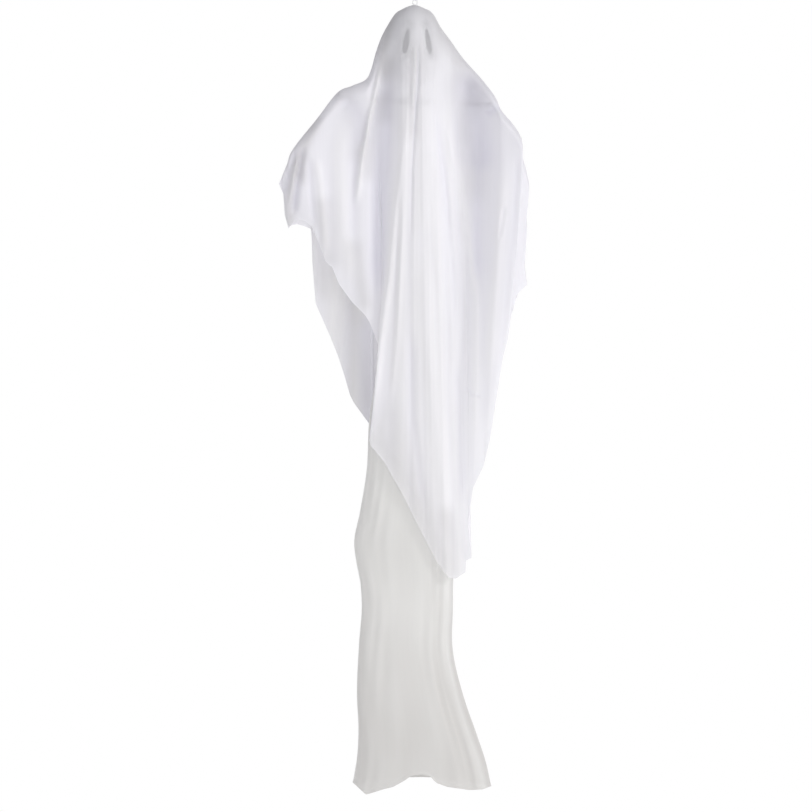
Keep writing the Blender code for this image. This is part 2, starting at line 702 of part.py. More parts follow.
def robe_points(columns=36):
    """Rings down the robe: drop, left and right edges and depth, as shares, with folds round the ring."""
    level_shares = np.array(
        [
            (0.010, -0.031, 0.031, 0.098),
            (0.040, -0.125, 0.125, 0.327),
            (0.100, -0.190, 0.190, 0.471),
            (0.300, -0.247, 0.247, 0.577),
            (0.505, -0.336, 0.300, 0.615),
            (0.685, -0.420, 0.290, 0.673),
            (0.770, -0.410, 0.285, 0.712),
            (0.830, -0.424, 0.320, 0.808),
            (0.880, -0.430, 0.378, 0.923),
            (0.940, -0.420, 0.470, 1.000),
            (1.000, -0.446, 0.554, 1.000),
        ]
    )
    row_shares = np.array(
        [0, 0.045, 0.1, 0.17, 0.25, 0.34, 0.43, 0.52, 0.6, 0.68, 0.75, 0.81, 0.87, 0.92, 0.96, 1]
    )
    neck_bottom = -COLLAR_DROP - ROBE_NECK_HEIGHT / 2
    length = -ROBE_DROP + VEIL_TOP - neck_bottom
    drop_share = (neck_bottom - VEIL_TOP + row_shares * length) / -ROBE_DROP
    left, right, depth = (spline(level_shares[:, 0], level_shares[:, i], drop_share) for i in (1, 2, 3))
    neck_share = 0.06
    spread = ease(row_shares / neck_share)
    neck = SPINE_DIAMETER / 2 + GAP
    half = np.maximum((right - left) / 2 * ROBE_WIDTH, neck) * spread + neck * (1 - spread)
    deep = np.maximum(depth / 2 * ROBE_DEPTH, neck) * spread + neck * (1 - spread)
    centre = (right + left) / 2 * ROBE_WIDTH * spread
    around = np.linspace(0, 2 * math.pi, columns, endpoint=False)
    fold = ROBE_FOLD_DEPTH * np.sin(ROBE_FOLDS * around + 0.6 * np.sin(2 * around))
    fold_top_share = 0.3
    waist_share = 0.45
    growth = ease(row_shares / fold_top_share) * (waist_share + (1 - waist_share) * row_shares)
    fold = fold * growth[:, None]
    x = centre[:, None] + (half[:, None] + fold) * np.cos(around)
    y = (deep[:, None] + fold) * np.sin(around)
    hem_lift_share = 0.010 * (0.55 - 0.45 * np.cos(2 * around) + np.where(np.sin(around) < 0, -0.35, 0.55))
    hem = -ROBE_DROP + VEIL_TOP + hem_lift_share * ROBE_DROP
    z = neck_bottom + row_shares[:, None] * (hem - neck_bottom)[None, :]
    rings = np.stack([x, y, z], axis=-1)
    top = rings[0].copy()
    top[:, 2] = -COLLAR_DROP + ROBE_NECK_HEIGHT / 2
    return np.concatenate([top[None], rings])


def robe():
    """Two panels, sewn together down both sides, under an elastic collar."""
    for name, side in (("robe_front", -1.0), ("robe_back", 1.0)):
        panel = add_object(name, grid_mesh(name, robe_points(), True), ROBE_CLOTH)
        thicken(panel, CLOTH_THICKNESS, 1.0)
        combine(panel, half_space(name + "_half", side, 2 * ROBE_DROP, -ROBE_DROP / 2), "INTERSECT")
    bore = SPINE_DIAMETER / 2 + CLOTH_THICKNESS + 3 * GAP
    outer = bore + COLLAR_THICKNESS
    top = -COLLAR_DROP + COLLAR_HEIGHT / 2
    bottom = top - COLLAR_HEIGHT
    turned("robe_collar", [(outer, top), (outer, bottom), (bore, bottom), (bore, top)], ELASTIC)


# Veil


def around_head(angle, stand_off):
    """A point over the head in the frontal plane, at an angle from the top and a distance off the shell."""
    theta = math.radians(angle)
    x = HEAD_SIDE_SHIFT + (HEAD_WIDTH / 2 + stand_off) * math.sin(theta)
    z = HEAD_CENTRE + (HEAD_HEIGHT / 2 + stand_off) * math.cos(theta)
    return x, z


def off_point(point, dx, dz):
    return point.x + dx, point.z + dz


def station_table():
    """Stations along the veil's ridge, from the left corner over the head to the right corner.

    Each has the ridge's place (x, z) and y, the roll below the ridge, and for the front and the back sheet
    the y at the foot of the roll, the y at the hem, and the hem's place as shares of the shoulder span and
    the veil's drop.
    """
    left_pivot = pivot_point(-1.0)
    right_pivot = pivot_point(1.0)
    left_hand = hand_point("left")
    right_hand = hand_point("right")
    left_y = left_hand.y
    right_y = right_hand.y
    off = VEIL_STAND_OFF
    half_head = HEAD_DEPTH / 2
    hand = HAND_DIAMETER
    table = [
        (off_point(left_hand, -3.7 * hand / 2, -5.2 * hand / 2), left_y - 0.15 * hand, 0.3 * hand,
         left_y - 0.3 * hand, left_y - 0.3 * hand, (-0.882, 0.3106), left_y, left_y, (-0.882, 0.3106)),
        (off_point(left_hand, -2.5 * hand / 2, -2.4 * hand / 2), left_y, 0.5 * hand,
         left_y - 0.6 * hand, left_y - 0.7 * hand, (-0.830, 0.389), left_y + 0.5 * hand, left_y + 0.6 * hand,
         (-0.830, 0.3805)),
        (off_point(left_hand, -1.05 * hand / 2, 0.67 * hand / 2), left_y, 0.85 * hand,
         left_y - 0.85 * hand, left_y - 1.0 * hand, (-0.746, 0.375), left_y + 0.85 * hand,
         left_y + 1.1 * hand, (-0.746, 0.3874)),
        (off_point(left_pivot, -0.37 * FORK_RADIUS, 1.83 * FORK_RADIUS), 0.0, 0.5 * half_head,
         -0.61 * half_head, -0.77 * half_head, (-0.545, 0.457), 0.47 * half_head, 0.62 * half_head,
         (-0.551, 0.576)),
        (around_head(-121, 0.714 * half_head), 0.0, 0.5 * half_head,
         -0.60 * half_head, -0.63 * half_head, (-0.318, 0.5445), 0.56 * half_head, 0.62 * half_head,
         (-0.3437, 0.7225)),
        (around_head(-95, 0.252 * half_head), 0.0, 0.6 * half_head,
         -0.62 * half_head, -0.50 * half_head, (-0.2205, 0.661), 0.66 * half_head, 0.64 * half_head,
         (-0.3437, 0.827)),
        (around_head(-47, off), 0.0, 0.9 * half_head,
         -0.82 * half_head, -1.10 * half_head, (-0.298, 0.759), 0.84 * half_head, 0.77 * half_head,
         (-0.3955, 0.960)),
        (around_head(-22, off), 0.0, HEAD_HEIGHT / 2,
         -1.03 * half_head, -1.22 * half_head, (-0.140, 0.830), 1.0 * half_head, 0.95 * half_head,
         (-0.300, 0.985)),
        (around_head(0, off), 0.0, HEAD_HEIGHT / 2,
         -1.10 * half_head, -1.28 * half_head, (-0.013, 0.890), 1.06 * half_head, 1.02 * half_head,
         (-0.190, 0.984)),
        (around_head(18, off), 0.0, HEAD_HEIGHT / 2,
         -1.09 * half_head, -1.27 * half_head, (0.070, 0.935), 1.05 * half_head, 1.05 * half_head,
         (-0.090, 0.970)),
        (around_head(39, off), 0.0, 0.9 * half_head,
         -0.99 * half_head, -1.22 * half_head, (0.150, 0.972), 0.98 * half_head, 1.07 * half_head,
         (0.010, 0.950)),
        (around_head(79, 0.189 * half_head), 0.0, 0.77 * half_head,
         -0.87 * half_head, -1.17 * half_head, (0.266, 1.0), 0.87 * half_head, 1.02 * half_head,
         (0.162, 0.9145)),
        (around_head(107, 0.714 * half_head), 0.0, 0.7 * half_head,
         -0.64 * half_head, -0.87 * half_head, (0.3826, 0.9616), 0.66 * half_head, 0.87 * half_head,
         (0.3048, 0.862)),
        (off_point(right_pivot, 1.91 * FORK_RADIUS, 1.84 * FORK_RADIUS), 0.0, 0.5 * half_head,
         -1.10 * half_head, -1.20 * half_head, (0.460, 0.7836), 0.50 * half_head, 0.62 * half_head,
         (0.4344, 0.740)),
        (off_point(right_hand, 1.28 * hand / 2, 0.18 * hand / 2), right_y, 0.85 * hand,
         right_y - 1.15 * hand, right_y - 0.80 * hand, (0.6225, 0.5654), right_y + 0.85 * hand,
         right_y + 1.1 * hand, (0.603, 0.5567)),
        (off_point(right_hand, 2.05 * hand / 2, -6.6 * hand / 2), right_y - 0.1 * hand, 0.8 * hand,
         right_y - 0.6 * hand, right_y - 0.5 * hand, (0.675, 0.503), right_y + 0.45 * hand,
         right_y + 0.5 * hand, (0.680, 0.501)),
        (off_point(right_hand, 2.16 * hand / 2, -21.6 * hand / 2), right_y - 0.15 * hand, 0.3 * hand,
         right_y - 0.3 * hand, right_y - 0.3 * hand, (0.7327, 0.4921), right_y, right_y, (0.7327, 0.4921)),
    ]
    return table


# Columns of the veil's grid between one station and the next
VEIL_COLUMNS = (1, 1, 2, 2, 2, 2, 3, 3, 3, 3, 4, 3, 2, 2, 2, 1)
VEIL_ROLL_ANGLES = (8, 25, 45, 67, 90)
VEIL_HANG_ROWS = 5


def veil_columns():
    steps = [np.arange(count) / count + station for station, count in enumerate(VEIL_COLUMNS)]
    return np.append(np.concatenate(steps), len(VEIL_COLUMNS))


def veil_sheet(sign, at):
    """Rows of one sheet, from the ridge down to the hem, at given stations along the ridge.

    Below the ridge a column rolls over like a quarter ellipse, then hangs to its hem, leaning evenly
    to the hem's x and y, and the folds grow as it goes down.
    """
    table = station_table()
    knots = np.arange(len(table))
    first = 3 if sign < 0 else 6
    columns = [
        [row[0][0] for row in table],
        [row[0][1] for row in table],
        [row[1] for row in table],
        [row[2] for row in table],
        [row[first] for row in table],
        [row[first + 1] for row in table],
        [row[first + 2][0] * 2 * PIVOT_HALF for row in table],
        [VEIL_TOP - row[first + 2][1] * VEIL_DROP for row in table],
    ]
    x0, z0, y0, roll, y_roll, y_hem, x_hem, z_hem = (spline(knots, np.array(c), at) for c in columns)
    z_hem = np.minimum(z_hem, z0)
    length = np.maximum(z0 - z_hem, MERGE)
    roll = np.minimum(np.maximum(roll, 0.0), length / 2)
    rows = []
    for angle in np.radians(VEIL_ROLL_ANGLES):
        rows.append((roll * (1 - math.cos(angle)), np.full_like(at, math.sin(angle))))
    for i in range(1, VEIL_HANG_ROWS + 1):
        rows.append((roll + (length - roll) * i / VEIL_HANG_ROWS, np.ones_like(at)))
    down = np.array([row[0] for row in rows])
    out = np.array([row[1] for row in rows])
    fallen = np.clip((down - roll) / (length - roll), 0, 1)
    eased_share = 0.4
    hang = eased_share * ease(fallen) + (1 - eased_share) * fallen
    lean = np.clip(down / length, 0, 1) ** 1.3
    x = x0 + (x_hem - x0) * lean
    y = y0 + (y_roll - y0) * out + (y_hem - y_roll) * hang
    window = np.exp(-(((at - 9.0) / 3.2) ** 4))
    growth = ease((down - VEIL_FOLD_START) / VEIL_FOLD_GROWTH)
    fold = VEIL_FOLD_DEPTH * np.cos(2 * math.pi * VEIL_FOLDS_PER_STATION * (at - 8.0)) * window * growth
    y = y - sign * fold
    z = np.minimum(z0 - down, HEAD_TOP + GAP)
    return np.stack([x, y, z], axis=-1), np.stack([x0, y0, np.minimum(z0, HEAD_TOP + GAP)], axis=-1)


def veil_mesh(name):
    """The whole veil as one sheet: the front sheet's rows, the ridge, and the back sheet's rows."""
    at = veil_columns()
    front, ridge = veil_sheet(-1.0, at)
    back, ridge = veil_sheet(1.0, at)
    points = np.concatenate([back[::-1], ridge[None], front])
    mesh = grid_mesh(name, points, False)
    bm = bmesh.new()
    bm.from_mesh(mesh)
    bmesh.ops.remove_doubles(bm, verts=bm.verts, dist=MERGE)
    bm.to_mesh(mesh)
    bm.free()
    return mesh


def trim(mesh, x, keep_greater):
    """Cuts an open sheet at a plane of constant x and keeps one side."""
    bm = bmesh.new()
    bm.from_mesh(mesh)
    geometry = list(bm.verts) + list(bm.edges) + list(bm.faces)
    bmesh.ops.bisect_plane(
        bm,
        geom=geometry,
        plane_co=(x, 0, 0),
        plane_no=(1, 0, 0),
        clear_inner=keep_greater,
        clear_outer=not keep_greater,
    )
    bm.to_mesh(mesh)
    bm.free()


def veil(axes):
    body = veil_mesh("veil_body")
    trim(body, -VEIL_SPLIT + GAP, True)
    trim(body, VEIL_SPLIT - GAP, False)
    made = add_object("veil_body", body, VOILE)
    thicken(made, CLOTH_THICKNESS, 1.0)
    hole = cylinder("veil_crown_hole", VEIL_HOLE, HEAD_HEIGHT / 4, None, sides=16)
    cut(made, place(hole, (0, 0, VEIL_TOP)))
    for label, side in SIDES.items():
        name = "veil_sleeve_" + label
        sheet = veil_mesh(name)
        trim(sheet, side * (VEIL_SPLIT + GAP), side > 0)
        sheet.transform(axes[label].matrix_world.inverted())
        sleeve = add_object(name, sheet, VOILE)
        thicken(sleeve, CLOTH_THICKNESS, 1.0)
        sleeve.parent = axes[label]


def build():
    turn = empty("head_axis", (0, 0, 0), (0, 0, HEAD_TURN))
    tilt = empty("shoulder_axis", (0, 0, -HUB_DROP), (0, SHOULDER_TILT, 0))
    crown_stack()
    head_shells(turn)
    spine(turn)
    shoulder_hub(tilt)
    for label, side in SIDES.items():
        shoulder_tube(label, side, tilt)
        thickness = shoulder_fork(label, side, tilt)
        pivot_hardware(label, side, tilt, thickness)
    axes = {label: arm(label) for label in SIDES}
    bpy.context.view_layer.update()
    robe()
    veil(axes)
    bpy.context.view_layer.update()


build()
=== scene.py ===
"""Hanging ghost decoration: its cloth and finishes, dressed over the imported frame.

Metres, +Z up, front towards -Y. The origin is the bearing point inside the hanging eye.
Outlines that come from the photograph are in its pixels, which across() and height() turn into metres.
"""
import math

import bpy
import numpy as np
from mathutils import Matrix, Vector


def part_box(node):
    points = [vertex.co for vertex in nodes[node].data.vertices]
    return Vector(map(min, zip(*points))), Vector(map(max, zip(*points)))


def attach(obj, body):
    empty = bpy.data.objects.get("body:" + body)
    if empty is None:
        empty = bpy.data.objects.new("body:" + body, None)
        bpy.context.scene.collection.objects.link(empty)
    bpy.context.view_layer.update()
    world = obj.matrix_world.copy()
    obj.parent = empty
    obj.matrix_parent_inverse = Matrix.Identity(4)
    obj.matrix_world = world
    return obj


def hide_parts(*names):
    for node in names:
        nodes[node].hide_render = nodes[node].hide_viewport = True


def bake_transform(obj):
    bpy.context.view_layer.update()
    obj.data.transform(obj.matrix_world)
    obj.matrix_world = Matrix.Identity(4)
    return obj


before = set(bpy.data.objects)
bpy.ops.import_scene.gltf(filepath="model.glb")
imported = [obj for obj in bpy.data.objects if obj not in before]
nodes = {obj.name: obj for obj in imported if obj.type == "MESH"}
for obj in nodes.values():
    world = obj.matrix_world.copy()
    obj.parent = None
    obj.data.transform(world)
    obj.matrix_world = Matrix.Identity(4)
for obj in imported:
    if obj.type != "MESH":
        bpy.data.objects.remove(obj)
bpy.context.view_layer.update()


# Steel fittings
# The nut, inner washer, screws, pivot bolts, wing nuts and the arms' wires are zinc plated steel. The
# hanging eye and its washer, which show above the veil, are enamelled white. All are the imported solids,
# and only get their finish.

STEEL_STARTS = (
    "hanging_nut", "crown_inner", "neck_screw", "hub_screw", "tube_screw", "pivot_bolt", "wing_nut",
    "arm_rod",
)
STEEL_NODES = [name for name in nodes if name.startswith(STEEL_STARTS)]


def socket(group, name, kind, direction, default=None):
    """Adds a named input or output to a node group."""
    made = group.interface.new_socket(name=name, in_out=direction, socket_type=kind)
    if default is not None:
        made.default_value = default
    return made


def feed(tree, slot, value):
    """Links a node's output to a socket, or sets the socket to a number or a colour."""
    if isinstance(value, bpy.types.NodeSocket):
        tree.links.new(value, slot)
    elif isinstance(value, tuple):
        slot.default_value = (*value, 1.0)
    else:
        slot.default_value = value


def maths(tree, operation, *values):
    """Adds a Math node to a node tree, and gives its output."""
    node = tree.nodes.new("ShaderNodeMath")
    node.operation = operation
    for slot, value in zip(node.inputs, values):
        feed(tree, slot, value)
    return node.outputs[0]


def colour_mix(tree, factor, first, second, blend="MIX"):
    """Adds a colour Mix node to a node tree, and gives its output."""
    node = tree.nodes.new("ShaderNodeMix")
    node.data_type = "RGBA"
    node.blend_type = blend
    feed(tree, node.inputs["Factor"], factor)
    feed(tree, node.inputs["A"], first)
    feed(tree, node.inputs["B"], second)
    return node.outputs["Result"]


def mottle_group():
    """Node group: soft cloudy variation of a colour and a roughness, with fine grain as a height."""
    group = bpy.data.node_groups.new("mottle", "ShaderNodeTree")
    socket(group, "Vector", "NodeSocketVector", "INPUT")
    socket(group, "Colour", "NodeSocketColor", "INPUT", (0.8, 0.8, 0.8, 1.0))
    socket(group, "Dark Colour", "NodeSocketColor", "INPUT", (0.7, 0.7, 0.7, 1.0))
    socket(group, "Cloud Scale", "NodeSocketFloat", "INPUT", 30.0)
    socket(group, "Grain Scale", "NodeSocketFloat", "INPUT", 900.0)
    socket(group, "Roughness", "NodeSocketFloat", "INPUT", 0.5)
    socket(group, "Roughness Spread", "NodeSocketFloat", "INPUT", 0.1)
    socket(group, "Colour", "NodeSocketColor", "OUTPUT")
    socket(group, "Roughness", "NodeSocketFloat", "OUTPUT")
    socket(group, "Height", "NodeSocketFloat", "OUTPUT")
    link = group.links.new
    inside = group.nodes.new("NodeGroupInput")
    outside = group.nodes.new("NodeGroupOutput")
    cloud = group.nodes.new("ShaderNodeTexNoise")
    cloud.inputs["Detail"].default_value = 3.0
    grain = group.nodes.new("ShaderNodeTexNoise")
    grain.inputs["Detail"].default_value = 2.0
    link(inside.outputs["Vector"], cloud.inputs["Vector"])
    link(inside.outputs["Vector"], grain.inputs["Vector"])
    link(inside.outputs["Cloud Scale"], cloud.inputs["Scale"])
    link(inside.outputs["Grain Scale"], grain.inputs["Scale"])
    clouds = cloud.outputs["Fac"]
    colour = colour_mix(group, clouds, inside.outputs["Colour"], inside.outputs["Dark Colour"])
    centred = maths(group, "SUBTRACT", clouds, 0.5)
    spread = inside.outputs["Roughness Spread"]
    roughness = maths(group, "MULTIPLY_ADD", centred, spread, inside.outputs["Roughness"])
    link(colour, outside.inputs["Colour"])
    link(roughness, outside.inputs["Roughness"])
    link(grain.outputs["Fac"], outside.inputs["Height"])
    return group


MOTTLE = mottle_group()


def moulded(name, colour, dark, roughness, cloud, grain, depth, metallic=0.0, stretch=(1, 1, 1)):
    """A hard finish: a Principled surface whose colour, roughness and grain come from the mottle group.

    Cloud and grain say how fine the two patterns are, and depth is the grain's height in metres.
    """
    made = bpy.data.materials.new(name)
    made.use_nodes = True
    tree = made.node_tree
    link = tree.links.new
    shader = tree.nodes["Principled BSDF"]
    shader.inputs["Metallic"].default_value = metallic
    place = tree.nodes.new("ShaderNodeTexCoord")
    mapping = tree.nodes.new("ShaderNodeMapping")
    mapping.inputs["Scale"].default_value = stretch
    mottle = tree.nodes.new("ShaderNodeGroup")
    mottle.node_tree = MOTTLE
    mottle.inputs["Colour"].default_value = (*colour, 1.0)
    mottle.inputs["Dark Colour"].default_value = (*dark, 1.0)
    mottle.inputs["Cloud Scale"].default_value = cloud
    mottle.inputs["Grain Scale"].default_value = grain
    mottle.inputs["Roughness"].default_value = roughness
    bump = tree.nodes.new("ShaderNodeBump")
    bump.inputs["Distance"].default_value = depth
    link(place.outputs["Object"], mapping.inputs["Vector"])
    link(mapping.outputs["Vector"], mottle.inputs["Vector"])
    link(mottle.outputs["Colour"], shader.inputs["Base Color"])
    link(mottle.outputs["Roughness"], shader.inputs["Roughness"])
    link(mottle.outputs["Height"], bump.inputs["Height"])
    link(bump.outputs["Normal"], shader.inputs["Normal"])
    return made


def wear(names, material):
    """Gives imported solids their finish."""
    for name in names:
        for slot in nodes[name].material_slots:
            slot.material = material


wear(STEEL_NODES, moulded(
    "zinc_steel", (0.66, 0.67, 0.68), (0.52, 0.53, 0.55),
    roughness=0.34, cloud=120.0, grain=1400.0, depth=0.00003, metallic=1.0,
))
wear(["hanging_eye", "crown_washer"], moulded(
    "white_enamel", (0.86, 0.86, 0.86), (0.80, 0.80, 0.80),
    roughness=0.30, cloud=60.0, grain=900.0, depth=0.00002,
))


# Tube frame
# The spine and shoulder tubes are white extruded pipe, and the hub, forks and end cap are grey moulded
# fittings, plugged and screwed together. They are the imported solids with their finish.

wear(["spine_tube", "shoulder_tube_left", "shoulder_tube_right"], moulded(
    "white_pipe", (0.80, 0.80, 0.78), (0.72, 0.72, 0.69),
    roughness=0.38, cloud=14.0, grain=700.0, depth=0.00005, stretch=(1, 1, 0.15),
))
wear(["shoulder_hub", "shoulder_fork_left", "shoulder_fork_right", "spine_end_cap"], moulded(
    "grey_fitting", (0.40, 0.41, 0.42), (0.30, 0.31, 0.32),
    roughness=0.52, cloud=60.0, grain=1800.0, depth=0.00008,
))


# Head
# Two thin half shells of pale grey moulded plastic make an egg-shaped head, screwed to the spine at its
# neck, with a piece of dark felt glued inside behind each oval eye opening.

wear(["head_front", "head_back"], moulded(
    "white_shell", (0.60, 0.60, 0.60), (0.54, 0.54, 0.55),
    roughness=0.55, cloud=18.0, grain=500.0, depth=0.00015,
))
wear(["eye_patch_left", "eye_patch_right"], moulded(
    "black_felt", (0.030, 0.030, 0.034), (0.015, 0.015, 0.018),
    roughness=0.95, cloud=200.0, grain=2600.0, depth=0.0004,
))


# Foam on the arms
# A foam sleeve slides over each arm's wire, and a foam ball on its end holds the veil out like a hand.
# Both are white closed-cell foam.

wear([name for name in nodes if name.startswith(("arm_foam", "hand_ball"))], moulded(
    "white_foam", (0.86, 0.86, 0.85), (0.78, 0.78, 0.77),
    roughness=0.9, cloud=80.0, grain=1500.0, depth=0.0003,
))


# Robe
# A long tube of fine plain-woven cloth, sewn from two panels and gathered at its neck under an elastic
# collar round the spine. It hangs with a slight bend at knee height and flares at its foot, where a
# narrow turned hem is stitched all round.

wear(["robe_collar"], moulded(
    "white_elastic", (0.82, 0.82, 0.82), (0.70, 0.70, 0.71),
    roughness=0.9, cloud=300.0, grain=900.0, depth=0.0004, stretch=(0.2, 0.2, 3.0),
))

# Metres in one pixel of the photograph at the spine's depth, and how far away the camera stands
PIXEL = 0.0027
CAMERA_DISTANCE = 8.0
# Pixels of the photograph's middle, of the spine and of the veil's crown, and how high the crown is
PHOTO_MIDDLE = 406.0
AXIS_COLUMN = 415.0
CROWN_ROW = 6.0
CROWN_HEIGHT = -0.0148
VIEW_X = (PHOTO_MIDDLE - AXIS_COLUMN) * PIXEL
VIEW_Z = CROWN_HEIGHT - (PHOTO_MIDDLE - CROWN_ROW) * PIXEL


def across(px, y=0.0):
    """Metres right of the spine of what shows at a pixel column of the photograph, at depth y."""
    return VIEW_X + (np.asarray(px, float) - PHOTO_MIDDLE) * PIXEL * (1 + np.asarray(y) / CAMERA_DISTANCE)


def height(py, y=0.0):
    """Metres above the hanging point of what shows at a pixel row of the photograph, at depth y."""
    return VIEW_Z - (np.asarray(py, float) - PHOTO_MIDDLE) * PIXEL * (1 + np.asarray(y) / CAMERA_DISTANCE)


def photo_column(x, y):
    """Pixel column of the photograph where a point shows: across() turned round."""
    return PHOTO_MIDDLE + (x - VIEW_X) / PIXEL / (1 + y / CAMERA_DISTANCE)


def photo_row(z, y):
    """Pixel row of the photograph where a point shows: height() turned round."""
    return PHOTO_MIDDLE - (z - VIEW_Z) / PIXEL / (1 + y / CAMERA_DISTANCE)


def ease(t):
    """Smooth step from 0 to 1."""
    t = np.clip(t, 0.0, 1.0)
    return t * t * (3 - 2 * t)


def spline(knots, values, at):
    """Smooth curve through values at uneven knots: a cubic with slopes from each knot's neighbours."""
    knots = np.asarray(knots, float)
    values = np.asarray(values, float)
    slopes = np.gradient(values, knots)
    cell = np.clip(np.searchsorted(knots, at, side="right") - 1, 0, len(knots) - 2)
    width = knots[cell + 1] - knots[cell]
    t = (at - knots[cell]) / width
    start = (2 * t**3 - 3 * t**2 + 1) * values[cell] + (t**3 - 2 * t**2 + t) * width * slopes[cell]
    end = (3 * t**2 - 2 * t**3) * values[cell + 1] + (t**3 - t**2) * width * slopes[cell + 1]
    return start + end


def grid_uv(points):
    """UV in metres: across by the columns' mean distance apart, down by each column's own length."""
    along = np.linalg.norm(np.diff(points, axis=0), axis=-1)
    v = np.concatenate([np.zeros((1, points.shape[1])), np.cumsum(along, axis=0)])
    widths = np.linalg.norm(np.diff(points, axis=1), axis=-1).mean(axis=0)
    u = np.concatenate([[0.0], np.cumsum(widths)])
    return np.stack([np.broadcast_to(u, v.shape), -v], axis=-1)


def cloth_object(name, points, material, marks):
    """A mesh of quads over a grid of points, rows by columns, with UVs in metres and marks per point."""
    rows, columns = points.shape[:2]
    index = np.arange(rows * columns).reshape(rows, columns)
    left = index[:, :-1]
    right = index[:, 1:]
    faces = np.stack([left[:-1], left[1:], right[1:], right[:-1]], axis=-1).reshape(-1, 4)
    mesh = bpy.data.meshes.new(name)
    mesh.vertices.add(rows * columns)
    mesh.vertices.foreach_set("co", points.reshape(-1))
    mesh.loops.add(faces.size)
    mesh.loops.foreach_set("vertex_index", faces.reshape(-1))
    mesh.polygons.add(len(faces))
    mesh.polygons.foreach_set("loop_start", np.arange(0, faces.size, 4))
    corners = grid_uv(points).reshape(-1, 2)[faces]
    layer = mesh.uv_layers.new(name="UVMap")
    layer.data.foreach_set("uv", corners.reshape(-1))
    for label, values in marks.items():
        attribute = mesh.attributes.new(label, "FLOAT", "POINT")
        attribute.data.foreach_set("value", values.astype(np.float32).reshape(-1))
    mesh.update()
    mesh.validate()
    mesh.shade_smooth()
    mesh.materials.append(material)
    made = bpy.data.objects.new(name, mesh)
    bpy.context.scene.collection.objects.link(made)
    return made


def woven_group():
    """Node group: fine cloth in UV metres. Gives long slubs, and the height of its threads and slubs."""
    group = bpy.data.node_groups.new("woven", "ShaderNodeTree")
    socket(group, "Vector", "NodeSocketVector", "INPUT")
    socket(group, "Threads per Metre", "NodeSocketFloat", "INPUT", 900.0)
    socket(group, "Slub Scale", "NodeSocketFloat", "INPUT", 110.0)
    socket(group, "Slub Stretch", "NodeSocketFloat", "INPUT", 0.03)
    socket(group, "Slub", "NodeSocketFloat", "OUTPUT")
    socket(group, "Height", "NodeSocketFloat", "OUTPUT")
    add = group.nodes.new
    link = group.links.new
    inside = add("NodeGroupInput")
    outside = add("NodeGroupOutput")
    split = add("ShaderNodeSeparateXYZ")
    link(inside.outputs["Vector"], split.inputs["Vector"])
    turns = maths(group, "MULTIPLY", inside.outputs["Threads per Metre"], 2 * math.pi)
    warp = maths(group, "SINE", maths(group, "MULTIPLY", split.outputs["X"], turns))
    join = add("ShaderNodeCombineXYZ")
    link(split.outputs["X"], join.inputs["X"])
    link(maths(group, "MULTIPLY", split.outputs["Y"], inside.outputs["Slub Stretch"]), join.inputs["Y"])
    slub = add("ShaderNodeTexNoise")
    slub.inputs["Detail"].default_value = 2.0
    link(join.outputs["Vector"], slub.inputs["Vector"])
    link(inside.outputs["Slub Scale"], slub.inputs["Scale"])
    half_slub = maths(group, "MULTIPLY", slub.outputs["Fac"], 0.5)
    link(slub.outputs["Fac"], outside.inputs["Slub"])
    link(maths(group, "MULTIPLY_ADD", warp, 0.25, half_slub), outside.inputs["Height"])
    return group


WOVEN = woven_group()
# How much a slub changes the cover, the weave's height in metres, and the tint of painted shade
SLUB_COVER = 0.03
WEAVE_HEIGHT = 0.00008
PAINTED_SHADE_TINT = (0.715, 0.708, 0.693)


def mark_value(tree, label):
    """Adds a node that reads one of the cloth's marks, and gives its value."""
    node = tree.nodes.new("ShaderNodeAttribute")
    node.attribute_name = label
    return node.outputs["Fac"]


def shader_mix(tree, factor, first, second):
    """Adds a Mix Shader node to a node tree, and gives its output."""
    node = tree.nodes.new("ShaderNodeMixShader")
    feed(tree, node.inputs["Fac"], factor)
    feed(tree, node.inputs[1], first)
    feed(tree, node.inputs[2], second)
    return node.outputs["Shader"]


